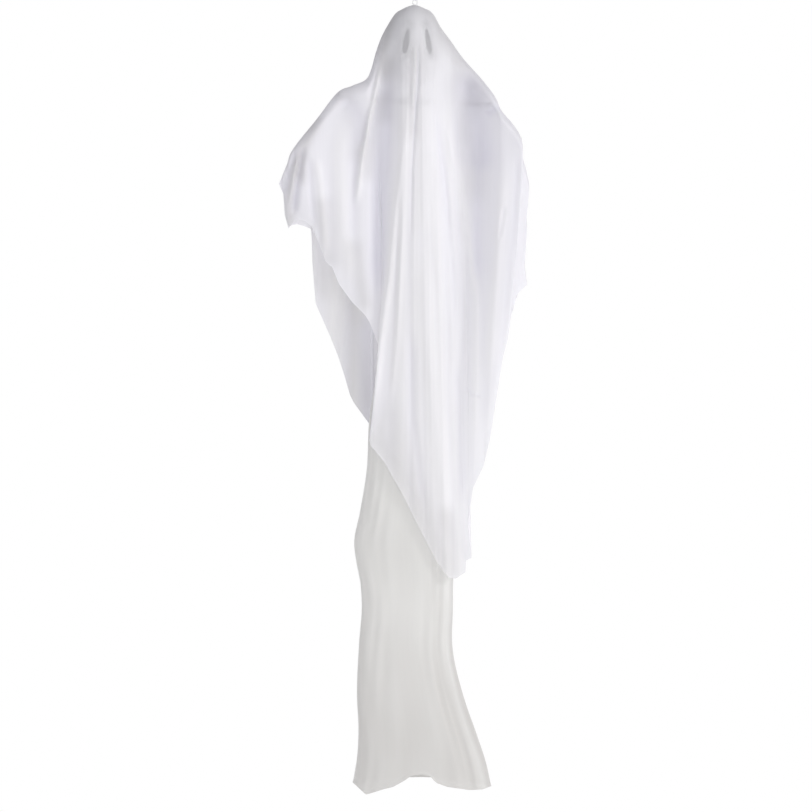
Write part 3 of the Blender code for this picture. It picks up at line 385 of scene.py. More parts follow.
def cloth_material(name, colour, shade, opacity, through, threads, hem_cover, thin_cover, fuzz):
    """Cloth that lets light through: a Principled surface mixed with translucency, and partly see-through.

    The "hem" mark is 1 where the cloth is folded over and stitched, "depth" is 1 in the bottom of a fold,
    where the shade colour is painted in as shade, "thin" is 1 where a single layer is stretched, and the
    painted shade mark is 1 where the colour is darkened as painted shade, where layers lie close together
    and where shadow falls. The fuzz brightens it where it turns away.
    """
    made = bpy.data.materials.new(name)
    made.use_nodes = True
    tree = made.node_tree
    add = tree.nodes.new
    link = tree.links.new
    shader = tree.nodes["Principled BSDF"]
    shader.inputs["Roughness"].default_value = 0.9
    shader.inputs["Specular IOR Level"].default_value = 0.15
    shader.inputs["Sheen Weight"].default_value = fuzz
    shader.inputs["Sheen Roughness"].default_value = 0.4
    uv = add("ShaderNodeUVMap")
    uv.uv_map = "UVMap"
    weave = add("ShaderNodeGroup")
    weave.node_tree = WOVEN
    weave.inputs["Threads per Metre"].default_value = threads
    link(uv.outputs["UV"], weave.inputs["Vector"])
    # Painted shade: the shade colour in the bottom of folds, then a darker tint where shade is painted in
    shaded = colour_mix(tree, mark_value(tree, "depth"), colour, shade)
    with_painted_shade = colour_mix(tree, mark_value(tree, "painted_shade"), shaded, PAINTED_SHADE_TINT, "MULTIPLY")
    bump = add("ShaderNodeBump")
    bump.inputs["Distance"].default_value = WEAVE_HEIGHT
    link(weave.outputs["Height"], bump.inputs["Height"])
    link(with_painted_shade, shader.inputs["Base Color"])
    link(bump.outputs["Normal"], shader.inputs["Normal"])
    lit_from_behind = add("ShaderNodeBsdfTranslucent")
    link(with_painted_shade, lit_from_behind.inputs["Color"])
    link(bump.outputs["Normal"], lit_from_behind.inputs["Normal"])
    cloth = shader_mix(tree, through, shader.outputs["BSDF"], lit_from_behind.outputs["BSDF"])
    centred = maths(tree, "SUBTRACT", weave.outputs["Slub"], 0.5)
    cover = maths(tree, "MULTIPLY_ADD", centred, SLUB_COVER, opacity)
    cover = maths(tree, "MULTIPLY_ADD", mark_value(tree, "thin"), thin_cover, cover)
    cover = maths(tree, "MULTIPLY_ADD", mark_value(tree, "hem"), hem_cover, cover)
    cover = maths(tree, "MINIMUM", cover, 1.0)
    clear = add("ShaderNodeBsdfTransparent")
    sheer = shader_mix(tree, cover, clear.outputs["BSDF"], cloth)
    link(sheer, tree.nodes["Material Output"].inputs["Surface"])
    return made


# Levels down the robe: pixel row, left and right edges in pixels, and depth in metres
ROBE_LEVELS = np.array([
    (132, 408, 422, 0.024),
    (145, 402, 428, 0.060),
    (170, 398, 436, 0.090),
    (215, 394, 440, 0.110),
    (300, 388, 446, 0.128),
    (380, 376.5, 453, 0.140),
    (424, 369.5, 455, 0.144),
    (480, 366.4, 455, 0.148),
    (520, 360.0, 455, 0.152),
    (552, 354.2, 454, 0.156),
    (572, 356.6, 454, 0.158),
    (592, 360.4, 453, 0.161),
    (612, 361.8, 453, 0.164),
    (655, 359, 452.5, 0.178),
    (706, 357, 464, 0.198),
    (744, 358.5, 477, 0.212),
    (770, 357, 485.5, 0.224),
    (795, 353, 491, 0.230),
])
ROBE_FRONT_HEM = np.array([
    (352.5, 782), (358, 787), (366, 794.5), (372, 793), (383, 789.5), (393, 787), (404, 781), (411, 776),
    (420, 774), (430, 776), (436, 783), (448, 787), (469, 790), (482, 789.5), (491, 786),
])
ROBE_BACK_HEM = np.array([
    (352.5, 782), (356, 785.2), (372, 780), (400, 777.5), (425, 777), (455, 779), (491, 786),
])
ROBE_COLUMNS = 150
ROBE_ROWS = 300
# The rows lie closer together towards the hem, by this power
ROBE_ROW_POWER = 1.15
# The power that squares the oval: 1 leaves it an oval
ROBE_FLATNESS = 0.56
ROBE_FOLDS = 6
ROBE_FOLD_DEPTH = 0.0055
ROBE_CREASE_DEPTH = 0.0006
ROBE_CRUMPLE_DEPTH = 0.0014
ROBE_PUCKER_DEPTH = 0.0010
# The neck stands above its collar and lies inside it
NECK_ABOVE_COLLAR = 0.003
NECK_INSIDE_COLLAR = 0.0024
# The pixel rows over which the gathered neck opens out, and over which its puckers come in
GATHER_ROW = 128.0
GATHER_ROWS = 26.0
PUCKER_ROW = 122.0
PUCKER_ROWS = 10.0
HEM_WELT_HEIGHT = 0.008
HEM_WELT_EDGE = 0.0015
HEM_WELT_DEPTH = 0.0009
HEM_STITCH_SHARE = 0.85
HEM_STITCH_WIDTH = 0.0012
HEM_STITCH_DEPTH = 0.0007
SEAM_WIDTH_SHARE = 0.0006
SEAM_DEPTH = 0.0006


def squared_off(wave, share):
    """A sine or cosine round the oval, raised to the flatness as the robe falls, which squares the oval."""
    flat = wave * np.maximum(np.abs(wave), 0.001) ** (ROBE_FLATNESS - 1)
    square = ease((share - 0.10) / 0.30)
    return flat * square + wave * (1 - square)


def robe_folds(angle, share):
    """How far the cloth stands out in metres: wandering folds and fine creases that grow as it falls.

    Each is a sine of its count times the angle, shifted by the wander, with a crumple of crossed sines.
    """
    wander = 0.5 * np.sin(3.1 * share + 2 * angle) + 0.35 * np.sin(7.0 * share - 3 * angle)
    growth = ease(share / 0.3) * (0.35 + 0.65 * share)
    uneven = 0.55 + 0.45 * np.sin(2 * angle + 1.1 + 1.5 * share)
    folds = ROBE_FOLD_DEPTH * uneven * np.sin(ROBE_FOLDS * angle + 2.2 * np.sin(2 * angle) + 2 * wander)
    creases = ROBE_CREASE_DEPTH * np.sin(23 * angle + 5.0 * wander)
    crumple = np.sin(38 * share + 5 * angle + 2 * wander) * np.sin(11 * angle - 9 * share)
    return growth * (folds + creases) + ROBE_CRUMPLE_DEPTH * ease((share - 0.25) / 0.2) * crumple


def robe_marks(angle, share, fold):
    """Painted shade: shade colour in folds and towards the foot, darker at the foot and the front's left.
    """
    lower_half = ease((share - 0.50) / 0.50)
    foot = ease((share - 0.62) / 0.38)
    upper = ease((0.76 - share) / 0.12)
    left_front = (1 - np.cos(angle)) * np.sin(angle) ** 2
    depth = 0.1 - fold / ROBE_FOLD_DEPTH / 3 + 0.8 * lower_half
    painted_shade = (0.22 + 0.03 * np.cos(angle)) * foot + 0.24 * left_front * upper
    return {"depth": np.clip(depth, 0, 1), "painted_shade": painted_shade}


def robe_panel_grid(first, last, hem_line):
    """Ovals down the robe, carried along its edges, with folds, between two angles round the spine.

    With c and s the cosine and sine of its angle, a point is centre + half width c + fold s s c across, and
    half depth s + fold s deep, where the first c and the first s are squared off. The hem stands proud.
    """
    angle = np.linspace(first, last, ROBE_COLUMNS + 1)[None, :]
    share = (1 - (1 - np.linspace(0, 1, ROBE_ROWS)) ** ROBE_ROW_POWER)[:, None]
    collar_low, collar_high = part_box("robe_collar")
    neck_z = collar_high.z + NECK_ABOVE_COLLAR
    neck = (collar_high.x - collar_low.x) / 2 - NECK_INSIDE_COLLAR
    py_top = CROWN_ROW + (CROWN_HEIGHT - neck_z) / PIXEL
    py = py_top + share * (ROBE_LEVELS[-1, 0] - py_top)
    left, right, depth = (spline(ROBE_LEVELS[:, 0], ROBE_LEVELS[:, i], py) for i in (1, 2, 3))
    gather = ease((py - GATHER_ROW) / GATHER_ROWS)
    half = np.maximum((right - left) / 2 * PIXEL, neck) * gather + neck * (1 - gather)
    deep = np.maximum(depth / 2, neck) * gather + neck * (1 - gather)
    centre = across((left + right) / 2) * gather
    puckers = (1 - gather) * np.sin(30 * angle) * ease((py - PUCKER_ROW) / PUCKER_ROWS)
    fold = robe_folds(angle, share) + ROBE_PUCKER_DEPTH * puckers
    x = centre + half * squared_off(np.cos(angle), share) + fold * np.sin(angle) ** 2 * np.cos(angle)
    y = deep * squared_off(np.sin(angle), share) + fold * np.sin(angle)
    hem = height(np.interp(photo_column(x[-1], y[-1]), hem_line[:, 0], hem_line[:, 1]), y[-1])
    even = height(py)
    z = neck_z + (even - neck_z) * ((hem - neck_z) / (even[-1] - neck_z))
    above_hem = z - hem
    welt = ease((HEM_WELT_HEIGHT - above_hem) / HEM_WELT_EDGE)
    stitch = np.exp(-(((above_hem - HEM_WELT_HEIGHT * HEM_STITCH_SHARE) / HEM_STITCH_WIDTH) ** 2))
    seam = np.exp(-(1 - np.abs(np.cos(angle))) / SEAM_WIDTH_SHARE)
    proud = HEM_WELT_DEPTH * welt - HEM_STITCH_DEPTH * stitch - SEAM_DEPTH * seam
    points = np.stack([x + proud * np.cos(angle), y + proud * np.sin(angle), z], axis=-1)
    return points, {"hem": welt, **robe_marks(angle, share, fold)}


# The robe's own colour, then its shade colour, painted in as shade in folds and towards the foot
ROBE_CLOTH = cloth_material(
    "robe_cloth", (0.880, 0.877, 0.862), (0.735, 0.721, 0.704),
    opacity=0.96, through=0.20, threads=1100.0, hem_cover=0.04, thin_cover=0.0, fuzz=0.5,
)


def robe_panel(node, first, last, hem_line):
    """One of the robe's two panels, between two angles round the spine."""
    points, marks = robe_panel_grid(first, last, hem_line)
    panel = cloth_object(node + "_cloth", points, ROBE_CLOTH, marks)
    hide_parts(node)
    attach(panel, "hanging_frame")


robe_panel("robe_front", math.pi, 2 * math.pi, ROBE_FRONT_HEM)
robe_panel("robe_back", 0.0, math.pi, ROBE_BACK_HEM)


# Veil
# One wide sheet of sheer white voile, clamped under the crown washer. It lies over the head, both arms
# and the hands, and hangs in soft folds to a long slanting hem in front and another behind. Its edge is
# a narrow rolled hem.


def middle_of(node):
    """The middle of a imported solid's box."""
    low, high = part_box(node)
    return (low + high) / 2


left_hand = middle_of("hand_ball_left")
right_hand = middle_of("hand_ball_right")

# The veil's ridge is its upper outline, from the left corner over the head to the right corner. Each row is
# a station along it, its pixel column and row, its y, the drop of the roll below it, and how late the cloth
# below it leans over to its hem.
VEIL_RIDGE = np.array([
    (0.0, 279.0, 184.0, left_hand.y - 0.005, 0.0108, 1.3),
    (1.0, 286.5, 165.4, left_hand.y, 0.018, 1.3),
    (2.0, 296.6, 144.0, left_hand.y, 0.0306, 1.3),
    (2.5, 316.5, 119.5, left_hand.y * 0.45, 0.040, 1.3),
    (3.0, 337.0, 93.2, 0.0, 0.049, 1.3),
    (3.5, 351.5, 86.2, 0.0, 0.049, 1.3),
    (4.0, 365.5, 80.0, 0.0, 0.049, 1.3),
    (4.5, 371.0, 70.0, 0.0, 0.053, 1.4),
    (5.0, 376.2, 51.5, 0.0, 0.0588, 1.6),
    (5.5, 382.3, 35.5, 0.0, 0.074, 1.9),
    (6.0, 391.6, 19.0, 0.0, 0.0882, 2.1),
    (7.0, 402.6, 9.3, 0.0, 0.1083, 1.6),
    (8.0, 413.9, 5.6, 0.0, 0.1083, 1.3),
    (9.0, 424.2, 8.6, 0.0, 0.1083, 1.3),
    (10.0, 434.2, 16.0, 0.0, 0.0882, 1.3),
    (10.5, 441.0, 28.2, 0.0, 0.082, 1.3),
    (11.0, 449.5, 39.6, 0.0, 0.0755, 1.3),
    (12.0, 466.3, 62.4, 0.0, 0.0686, 1.3),
    (12.5, 481.5, 79.5, 0.0, 0.060, 1.3),
    (13.0, 495.8, 99.5, -0.01, 0.049, 1.3),
    (13.25, 501.0, 111.0, right_hand.y * 0.3, 0.043, 1.3),
    (13.5, 511.5, 123.0, right_hand.y * 0.6, 0.038, 1.3),
    (14.0, 521.8, 141.0, right_hand.y, 0.0306, 1.3),
    (14.4, 523.0, 158.0, right_hand.y - 0.002, 0.0300, 1.3),
    (14.8, 527.3, 175.0, right_hand.y - 0.004, 0.0290, 1.3),
    (15.0, 529.0, 187.0, right_hand.y - 0.004, 0.0280, 1.3),
    (15.15, 525.4, 194.0, right_hand.y - 0.004, 0.0270, 1.3),
    (15.5, 527.0, 228.0, right_hand.y - 0.005, 0.0200, 1.3),
    (15.75, 524.3, 257.0, right_hand.y - 0.005, 0.0150, 1.3),
    (16.0, 527.0, 284.5, right_hand.y - 0.005, 0.0108, 1.3),
])
# At each whole station, y at the foot of the roll and y at the hem, for the front and for the back
VEIL_FRONT_Y = np.array([
    (-0.0380, -0.0380), (-0.0600, -0.0540), (-0.0754, -0.0620), (-0.0640, -0.0680), (-0.0680, -0.0740),
    (-0.0620, -0.0720), (-0.0804, -0.0900), (-0.1029, -0.0950), (-0.1098, -0.0960), (-0.1088, -0.0960),
    (-0.0990, -0.0960), (-0.0800, -0.1000), (-0.0600, -0.1220), (-0.1380, -0.1460), (-0.1680, -0.1550),
    (-0.1450, -0.1414), (-0.1342, -0.1342),
])
VEIL_BACK_Y = np.array([
    (-0.0448, -0.0448), (-0.0268, -0.0232), (-0.0142, -0.0052), (0.0461, 0.0608), (0.0549, 0.0608),
    (0.0647, 0.0627), (0.0823, 0.0755), (0.0980, 0.0931), (0.1039, 0.1000), (0.1029, 0.1029),
    (0.0960, 0.1049), (0.0853, 0.1000), (0.0647, 0.0853), (0.0490, 0.0608), (-0.0928, -0.0838),
    (-0.1072, -0.1054), (-0.1234, -0.1234),
])
# Hems: station, pixel column and row
VEIL_FRONT_HEM = np.array([
    (0.0, 279, 184), (0.3, 286.7, 201), (0.5, 284.5, 214), (0.8, 288.5, 228.5), (1.1, 294, 221),
    (1.4, 300, 220), (1.75, 306, 221.5), (2.05, 312, 227), (2.35, 320, 246), (2.6, 325.5, 261),
    (2.72, 329, 265), (2.85, 332, 266.5), (3.15, 339, 284), (3.55, 352, 302),
    (3.95, 365, 315), (4.15, 370, 323), (4.6, 381, 352), (5.1, 389, 392), (5.4, 384, 412), (5.7, 376, 428),
    (5.95, 369, 439), (6.1, 371, 446), (6.5, 384, 462), (7.15, 403, 495), (7.7, 413, 516), (8.5, 426, 541),
    (9.4, 438, 564), (10.2, 449, 578), (10.7, 456, 578.5), (11.2, 465.5, 572), (11.3, 466, 560.5),
    (11.8, 471.5, 558), (12.1, 468, 522), (12.4, 473, 488), (12.8, 483.5, 466), (13.2, 490, 439),
    (13.5, 496.5, 397), (13.75, 503, 357), (14.0, 508.5, 337), (14.4, 510.5, 319), (15.0, 516, 296),
    (15.4, 520, 291), (16.0, 527, 284.5),
])
VEIL_BACK_HEM = np.array([
    (0.0, 279, 184), (0.3, 286.0, 200), (0.5, 285.5, 212), (0.8, 288.5, 226), (1.4, 297, 224),
    (1.9, 304, 226), (2.15, 311.5, 229), (2.45, 312.5, 264), (2.65, 315, 296), (2.72, 316, 304),
    (3.0, 330, 336), (3.3, 338, 356), (3.55, 344, 374), (3.8, 350, 395), (3.95, 354, 403),
    (4.2, 369.5, 424), (4.5, 374, 440), (5.0, 378, 475), (5.6, 372, 528), (6.0, 363, 552),
    (6.4, 364, 562), (7.0, 372, 568), (8.0, 386, 570), (9.0, 401, 562), (10.0, 416.5, 550),
    (11.0, 440, 530), (12.0, 462, 500), (13.0, 482, 430), (13.5, 495, 385), (14.0, 508, 326),
    (15.0, 518, 293), (16.0, 527, 284.5),
])
VEIL_ROLL_STEPS = 14
VEIL_HANG_STEPS = 170
VEIL_STEP = 0.04
# Stations: where the veil's two parts meet, its right corner, the middle of its folds and their reach
VEIL_SEAM = 5.6
VEIL_END = 16.0
VEIL_MIDDLE = 9.0
PLEATS_REACH = 3.2
# How far from the middle the veil's sides stay free of their painted shade
SHADE_REACH = 3.0
# The back sheet leans over later round the station where its lower left corner hangs
BACK_CORNER = 5.7
BACK_CORNER_LEAN = 1.3
SHORTEST_DROP = 0.00001
HANG_EASE_SHARE = 0.4
# Metres across from one station to the next at which pleats and drawn folds have their full height
PLEAT_SPREAD = 0.05
FOLD_SPREAD = 0.02
PLEAT_DEPTH = 0.010
FRONT_PLEAT_SHARE = 0.15
BACK_PLEAT_SHARE = 0.7
ROLLED_HEM = 0.0040
ROLLED_HEM_EDGE = 0.0010
# The height of a fold that takes all the painted shade colour out of the cloth
CLEAR_FOLD = 0.018

# Folds of the front sheet: height towards the front in metres, half width in pixels, and the line's pixels.
# The shade colour is painted in along them as shade, more where they dip and less on their ridges
FRONT_FOLDS = [
    (0.010, 3.0, [(381, 57), (378, 80), (374, 100), (369, 122), (362, 162), (355, 212)]),
    (-0.012, 9.0, [(390, 50), (387, 80), (385, 107), (384, 140), (380, 187), (378, 240), (377, 310)]),
    (0.007, 4.0, [
        (403, 90), (403, 143), (398, 187), (393, 233), (389, 280), (380, 345), (373, 400), (369, 437),
    ]),
    (0.004, 3.0, [(408, 78), (407, 120), (405, 170), (402, 240), (397, 330), (389, 430)]),
    (-0.0040, 1.8, [(418.5, 34), (418, 80), (416, 104), (412, 170), (411, 250)]),
    (0.0030, 2.4, [(414.5, 40), (414.5, 74), (412, 110)]),
    (0.004, 6.0, [(424, 92), (424, 160), (424, 240)]),
    (0.003, 4.0, [(428, 90), (431, 170), (436, 240), (441, 320)]),
    (-0.0045, 3.0, [(434, 100), (440, 150), (447, 200), (452, 260), (456, 340)]),
    (0.006, 4.5, [
        (438, 84), (443, 110), (452, 147), (460, 187), (467, 233), (476, 300), (476, 390), (473, 480),
    ]),
    (-0.012, 14.0, [(462, 62), (474, 104), (480, 150), (479, 178)]),
    (-0.008, 7.0, [(480, 128), (478, 187), (477, 240), (478, 290)]),
    (-0.002, 5.0, [(478, 250), (481, 330), (478, 400), (476, 440)]),
    (0.006, 7.0, [(424, 240), (427, 330), (436, 420), (447, 530)]),
    (-0.005, 4.5, [(411, 320), (413, 420), (424, 520)]),
    (-0.004, 4.0, [(455, 350), (459, 420), (462, 510)]),
    (-0.004, 2.0, [(465, 387), (473, 395), (481, 396)]),
    (0.005, 4.0, [(315, 150), (320, 180), (324, 220), (327, 260)]),
    (-0.004, 3.0, [(308, 152), (311, 195), (315, 232)]),
    (0.005, 8.0, [(343, 112), (339, 160), (344, 230), (354, 296)]),
    (-0.003, 5.0, [(354, 116), (353, 180), (350, 250)]),
    (-0.006, 9.0, [(338, 96), (352, 106), (362, 124), (364, 150)]),
    (-0.009, 3.5, [(304, 142), (301, 160), (297, 186), (293, 218)]),
    (-0.006, 3.0, [(297, 146), (290, 168), (284, 196)]),
    (0.003, 2.0, [(300, 152), (293, 178), (289, 206)]),
    (-0.007, 4.0, [(505, 106), (495, 108), (485, 114)]),
    (0.004, 7.0, [(509, 148), (503, 200), (494, 290), (488, 390)]),
    (-0.002, 4.0, [(498, 150), (495, 210), (489, 300)]),
    (-0.002, 3.0, [(518, 150), (516, 200), (514, 275)]),
    (-0.003, 1.5, [(505, 205), (502, 222), (499, 240)]),
]
# The dip where the back sheet goes behind the front one, the same way. It also paints the shade colour
# in there as shade
BACK_FOLDS = [
    (0.016, 12.0, [(364, 300), (364, 340), (366, 380), (369, 440), (372, 480)]),
]
# Where the front sheet is one thin stretched layer: how thin, half width in pixels, and the line's pixels
THIN_PLACES = [
    (0.48, 5.5, [(411.5, 15), (407, 41), (404.5, 64)]),
    (0.68, 5.0, [(424, 15), (428.5, 40), (433, 64)]),
    (0.30, 26.0, [(413, -50), (409, 20), (408, 86)]),
    (0.72, 13.0, [(358, 408), (376, 440), (400, 482), (416, 514), (434, 550), (460, 606)]),
    (0.3, 10.0, [(389, 66), (386, 103), (385, 140), (380, 187), (379, 240), (376, 300)]),
    (0.3, 17.0, [(464, 88), (470, 104), (477, 150), (475, 187), (470, 215), (469, 250)]),
]
# Painted shade where layers lie close together and where shadow falls: how dark, half width in pixels,
# and the line's pixels, in front and behind
FRONT_PAINTED_SHADE = [
    (0.65, 7.0, [(399, -6), (388, 22), (383, 48), (385, 90)]),
    (0.44, 11.0, [(432, -6), (447, 34), (461, 62), (474, 90), (486, 124)]),
    (0.30, 14.0, [(417, 30), (415, 80), (411, 112), (409, 150)]),
    (0.32, 13.0, [(452, 60), (462, 110), (475, 155), (474, 215)]),
    (0.40, 8.0, [(392, 50), (388, 85), (385, 130)]),
    (0.40, 8.0, [(386, 80), (378, 108), (372, 140), (366, 190)]),
    (0.30, 10.0, [(336, 80), (349, 104), (356, 130), (358, 170)]),
    (0.60, 6.0, [(322, 112), (309, 136), (303, 150), (301, 166), (302, 190)]),
    (0.70, 7.0, [(300, 144), (294, 172), (290, 198), (288, 240)]),
    (0.40, 10.0, [(321, 190), (325, 230), (332, 274)]),
    (0.45, 8.0, [(354, 232), (358, 262), (367, 318)]),
    (0.35, 9.0, [(443, 500), (453, 542), (459, 590)]),
    (0.25, 15.0, [(372, 380), (398, 440), (424, 510), (444, 560), (456, 600)]),
]
BACK_PAINTED_SHADE = [
    (0.80, 15.0, [(330, 176), (343, 250), (354, 306), (361, 360), (366, 560)]),
    (0.35, 8.0, [(316, 205), (318, 250), (324, 310)]),
    (0.35, 16.0, [(318, 240), (334, 320), (348, 370), (356, 430)]),
]


def drawn(px, py, marks):
    """Sum of soft marks: each is a bell across its line, faded in and out along it, at its strength."""
    total = np.zeros_like(px)
    for strength, width, line in marks:
        points = np.array(line, float)
        steps = np.diff(points, axis=0)
        lengths = np.linalg.norm(steps, axis=1)
        starts = np.concatenate([[0.0], np.cumsum(lengths)])
        near = np.full(px.shape, np.inf)
        along = np.zeros_like(px)
        for (x0, y0), (dx, dy), length, start in zip(points[:-1], steps, lengths, starts):
            t = np.clip(((px - x0) * dx + (py - y0) * dy) / length**2, 0, 1)
            away = np.hypot(px - x0 - t * dx, py - y0 - t * dy)
            closer = away < near
            near = np.where(closer, away, near)
            along = np.where(closer, (start + t * length) / starts[-1], along)
        fade = ease(along / 0.2) * ease((1 - along) / 0.2)
        total = total + strength * fade * np.exp(-((near / width) ** 2))
    return total


def ripple(at, waves):
    """Sum of sine waves given as (cycles per unit, phase, size): an even, repeatable irregular ripple."""
    return sum(size * np.sin(2 * math.pi * cycles * at + phase) for cycles, phase, size in waves)


def veil_pleats(at, down):
    """Soft pleats that run down the columns and grow as they hang, outwards in metres.

    They are a cosine with one turn for each station round the veil's middle, and ripples everywhere.
    """
    growth = ease((down - 0.10) / 0.55)
    panel = np.exp(-(((at - VEIL_MIDDLE) / PLEATS_REACH) ** 4))
    pleats = PLEAT_DEPTH * np.cos(2 * math.pi * at) * panel * growth
    fine = ripple(at, [(1.3, 0.4, 0.0030), (2.3, 1.9, 0.0016)])
    drift = ripple(at + 0.35 * down, [(0.9, 2.2, 0.0030), (3.1, 0.3, 0.0008)])
    return pleats + (fine + drift) * ease((down - 0.03) / 0.25)


def veil_half(at, y_levels, hem_line, front):
    """One side of the veil, from its ridge to its hem, at stations along the ridge.

    Each column rolls over like a quarter ellipse, y = ridge + (foot - ridge) sin t, z = -roll (1 - cos t),
    then hangs to its hem, drifting across as (share of its length) to its lean, with its folds on top.
    It gives points, folds, each point's height above the hem, how thin the cloth is, and its painted shade.
    """
    stations = np.arange(len(y_levels))
    ridge = (spline(VEIL_RIDGE[:, 0], VEIL_RIDGE[:, i], at) for i in range(1, 6))
    ridge_px, ridge_py, y0, roll, lean = ridge
    y_foot, y_hem = (spline(stations, y_levels[:, i], at) for i in (0, 1))
    if not front:
        lean = lean + BACK_CORNER_LEAN * np.exp(-((at - BACK_CORNER) ** 2))
    x0 = across(ridge_px, y0)
    z0 = height(ridge_py, y0)
    x_hem = across(np.interp(at, hem_line[:, 0], hem_line[:, 1]), y_hem)
    z_hem = height(np.interp(at, hem_line[:, 0], hem_line[:, 2]), y_hem)
    z_hem = np.minimum(z_hem, z0 - SHORTEST_DROP)
    length = z0 - z_hem
    roll = np.minimum(np.maximum(roll, 0.0), 0.5 * length)
    turn = np.linspace(0, math.pi / 2, VEIL_ROLL_STEPS + 1)[:, None]
    rolled = roll * (1 - np.cos(turn))
    hang_share = (np.arange(1, VEIL_HANG_STEPS + 1) / VEIL_HANG_STEPS)[:, None]
    hung = roll + (length - roll) * hang_share
    down = np.concatenate([rolled, hung])
    out = np.concatenate([np.sin(turn) * np.ones_like(rolled), np.ones_like(hung)])
    fallen = np.clip((down - roll) / (length - roll), 0, 1)
    hang = HANG_EASE_SHARE * ease(fallen) + (1 - HANG_EASE_SHARE) * fallen
    x = x0 + (x_hem - x0) * np.clip(down / length, 0, 1) ** lean
    y = y0 + (y_foot - y0) * out + (y_hem - y_foot) * hang
    z = z0 - down
    px = photo_column(x, y)
    py = photo_row(z, y)
    spread = np.abs(np.gradient(x, at, axis=1))
    pleats = veil_pleats(at[None, :], down) * ease(spread / PLEAT_SPREAD)
    if front:
        fold = FRONT_PLEAT_SHARE * pleats + drawn(px, py, FRONT_FOLDS) * ease(spread / FOLD_SPREAD)
        thin = drawn(px, py, THIN_PLACES)
        painted_shade = drawn(px, py, FRONT_PAINTED_SHADE)
    else:
        fold = BACK_PLEAT_SHARE * pleats - drawn(px, py, BACK_FOLDS)
        thin = np.zeros_like(x)
        painted_shade = drawn(px, py, BACK_PAINTED_SHADE)
    fold = fold * ease(out)
    outwards = -1.0 if front else 1.0
    return np.stack([x, y + outwards * fold, z], axis=-1), fold, z - z_hem, thin, painted_shade


def veil_grid(first, last):
    """The whole veil between two stations: from its back hem over the ridge to its front hem, in rows."""
    steps = int(round((last - first) / VEIL_STEP))
    at = np.linspace(first, last, steps + 1)
    front = veil_half(at, VEIL_FRONT_Y, VEIL_FRONT_HEM, True)
    back = veil_half(at, VEIL_BACK_Y, VEIL_BACK_HEM, False)
    points, fold, rise, thin, painted_shade = (np.concatenate([b[:0:-1], f]) for b, f in zip(back, front))
    # Painted shade: more shade colour and a darker tint on the sides, away from the veil's middle
    side_shade_share = 1 - np.exp(-(((at - VEIL_MIDDLE) / SHADE_REACH) ** 4))
    marks = {
        "hem": ease((ROLLED_HEM - rise) / ROLLED_HEM_EDGE),
        "depth": 0.10 + 0.16 * side_shade_share - fold / CLEAR_FOLD,
        "thin": thin,
        "painted_shade": painted_shade + 0.08 * side_shade_share,
    }
    return points, {label: np.clip(values, 0, 1) for label, values in marks.items()}


# The voile's own colour, then a lavender shade colour, painted in as shade in folds and on the sides
VOILE = cloth_material(
    "white_voile", (0.932, 0.924, 0.946), (0.825, 0.815, 0.90),
    opacity=0.88, through=0.24, threads=900.0, hem_cover=0.05, thin_cover=-0.38, fuzz=0.0,
)


def veil_piece(label, first, last):
    """One part of the veil, from station to station, in place of the imported veil solids, which it hides.
    """
    points, marks = veil_grid(first, last)
    piece = cloth_object("veil_" + label, points, VOILE, marks)
    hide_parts("veil_body", "veil_sleeve_" + label)
    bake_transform(piece)


veil_piece("left", 0.0, VEIL_SEAM)
veil_piece("right", VEIL_SEAM, VEIL_END)


# Studio
# A pale floor under the hanging ghost, a soft key from the right, a wide front lamp, a weak fill from the
# left, a lamp behind that lights its back, and two weak ones low at its sides for the robe's edges. A
# long lens looks at it, level with its middle.

AMBIENT = 0.43
FLOOR_DROP = 2.9
FLOOR_HALF = 30.0
# The camera sees the floor's own shade near the spine, to this share, and plain white further away
SHADE_NEAR = 0.5
SHADE_FAR = 1.7
WHITE_NEAR_SHARE = 0.75
SENSOR = 36.0
PHOTO_PIXELS = 812


def area_light(name, place, aim, size, energy, colour=(1.0, 1.0, 1.0)):
    """A square soft lamp at a place, turned to its aim."""
    lamp = bpy.data.lights.new(name, "AREA")
    lamp.size = size
    lamp.energy = energy
    lamp.color = colour
    made = bpy.data.objects.new(name, lamp)
    made.location = place
    made.visible_camera = False
    made.rotation_euler = Vector(np.subtract(aim, place)).to_track_quat("-Z", "Y").to_euler()
    bpy.context.scene.collection.objects.link(made)


area_light("key", (4.6, -3.4, 0.9), (0.0, 0.0, -0.9), size=2.0, energy=134.0, colour=(1.0, 0.995, 0.985))
area_light("front", (0.4, -6.0, -0.4), (0.0, 0.0, -0.9), size=3.0, energy=96.0)
area_light("fill", (-3.5, -4.0, -0.5), (0.0, 0.0, -1.0), size=2.5, energy=26.0, colour=(0.97, 0.98, 1.0))
area_light("rear", (1.6, 5.6, 0.2), (0.0, 0.0, -0.9), size=3.0, energy=66.0)
area_light("low_left", (-1.7, 0.1, -1.75), (0.0, 0.0, -1.75), size=0.8, energy=4.2)
area_light("low_right", (1.7, 0.1, -1.75), (0.0, 0.0, -1.75), size=0.8, energy=2.8)


def seen_directly(tree):
    """1 for camera, glossy and transmission rays, which see the plain white of the studio."""
    path = tree.nodes.new("ShaderNodeLightPath").outputs
    seen = maths(tree, "MAXIMUM", path["Is Camera Ray"], path["Is Glossy Ray"])
    return maths(tree, "MAXIMUM", seen, path["Is Transmission Ray"])


def studio_world():
    """Soft light from all round, and plain white where it is seen directly."""
    made = bpy.data.worlds.new("studio")
    made.use_nodes = True
    tree = made.node_tree
    ambient = tree.nodes["Background"]
    ambient.inputs["Color"].default_value = (0.97, 0.97, 1.0, 1.0)
    ambient.inputs["Strength"].default_value = AMBIENT
    white = tree.nodes.new("ShaderNodeBackground")
    white.inputs["Color"].default_value = (1.0, 1.0, 1.0, 1.0)
    white.inputs["Strength"].default_value = 1.0
    both = shader_mix(tree, seen_directly(tree), ambient.outputs["Background"], white.outputs["Background"])
    tree.links.new(both, tree.nodes["World Output"].inputs["Surface"])
    return made


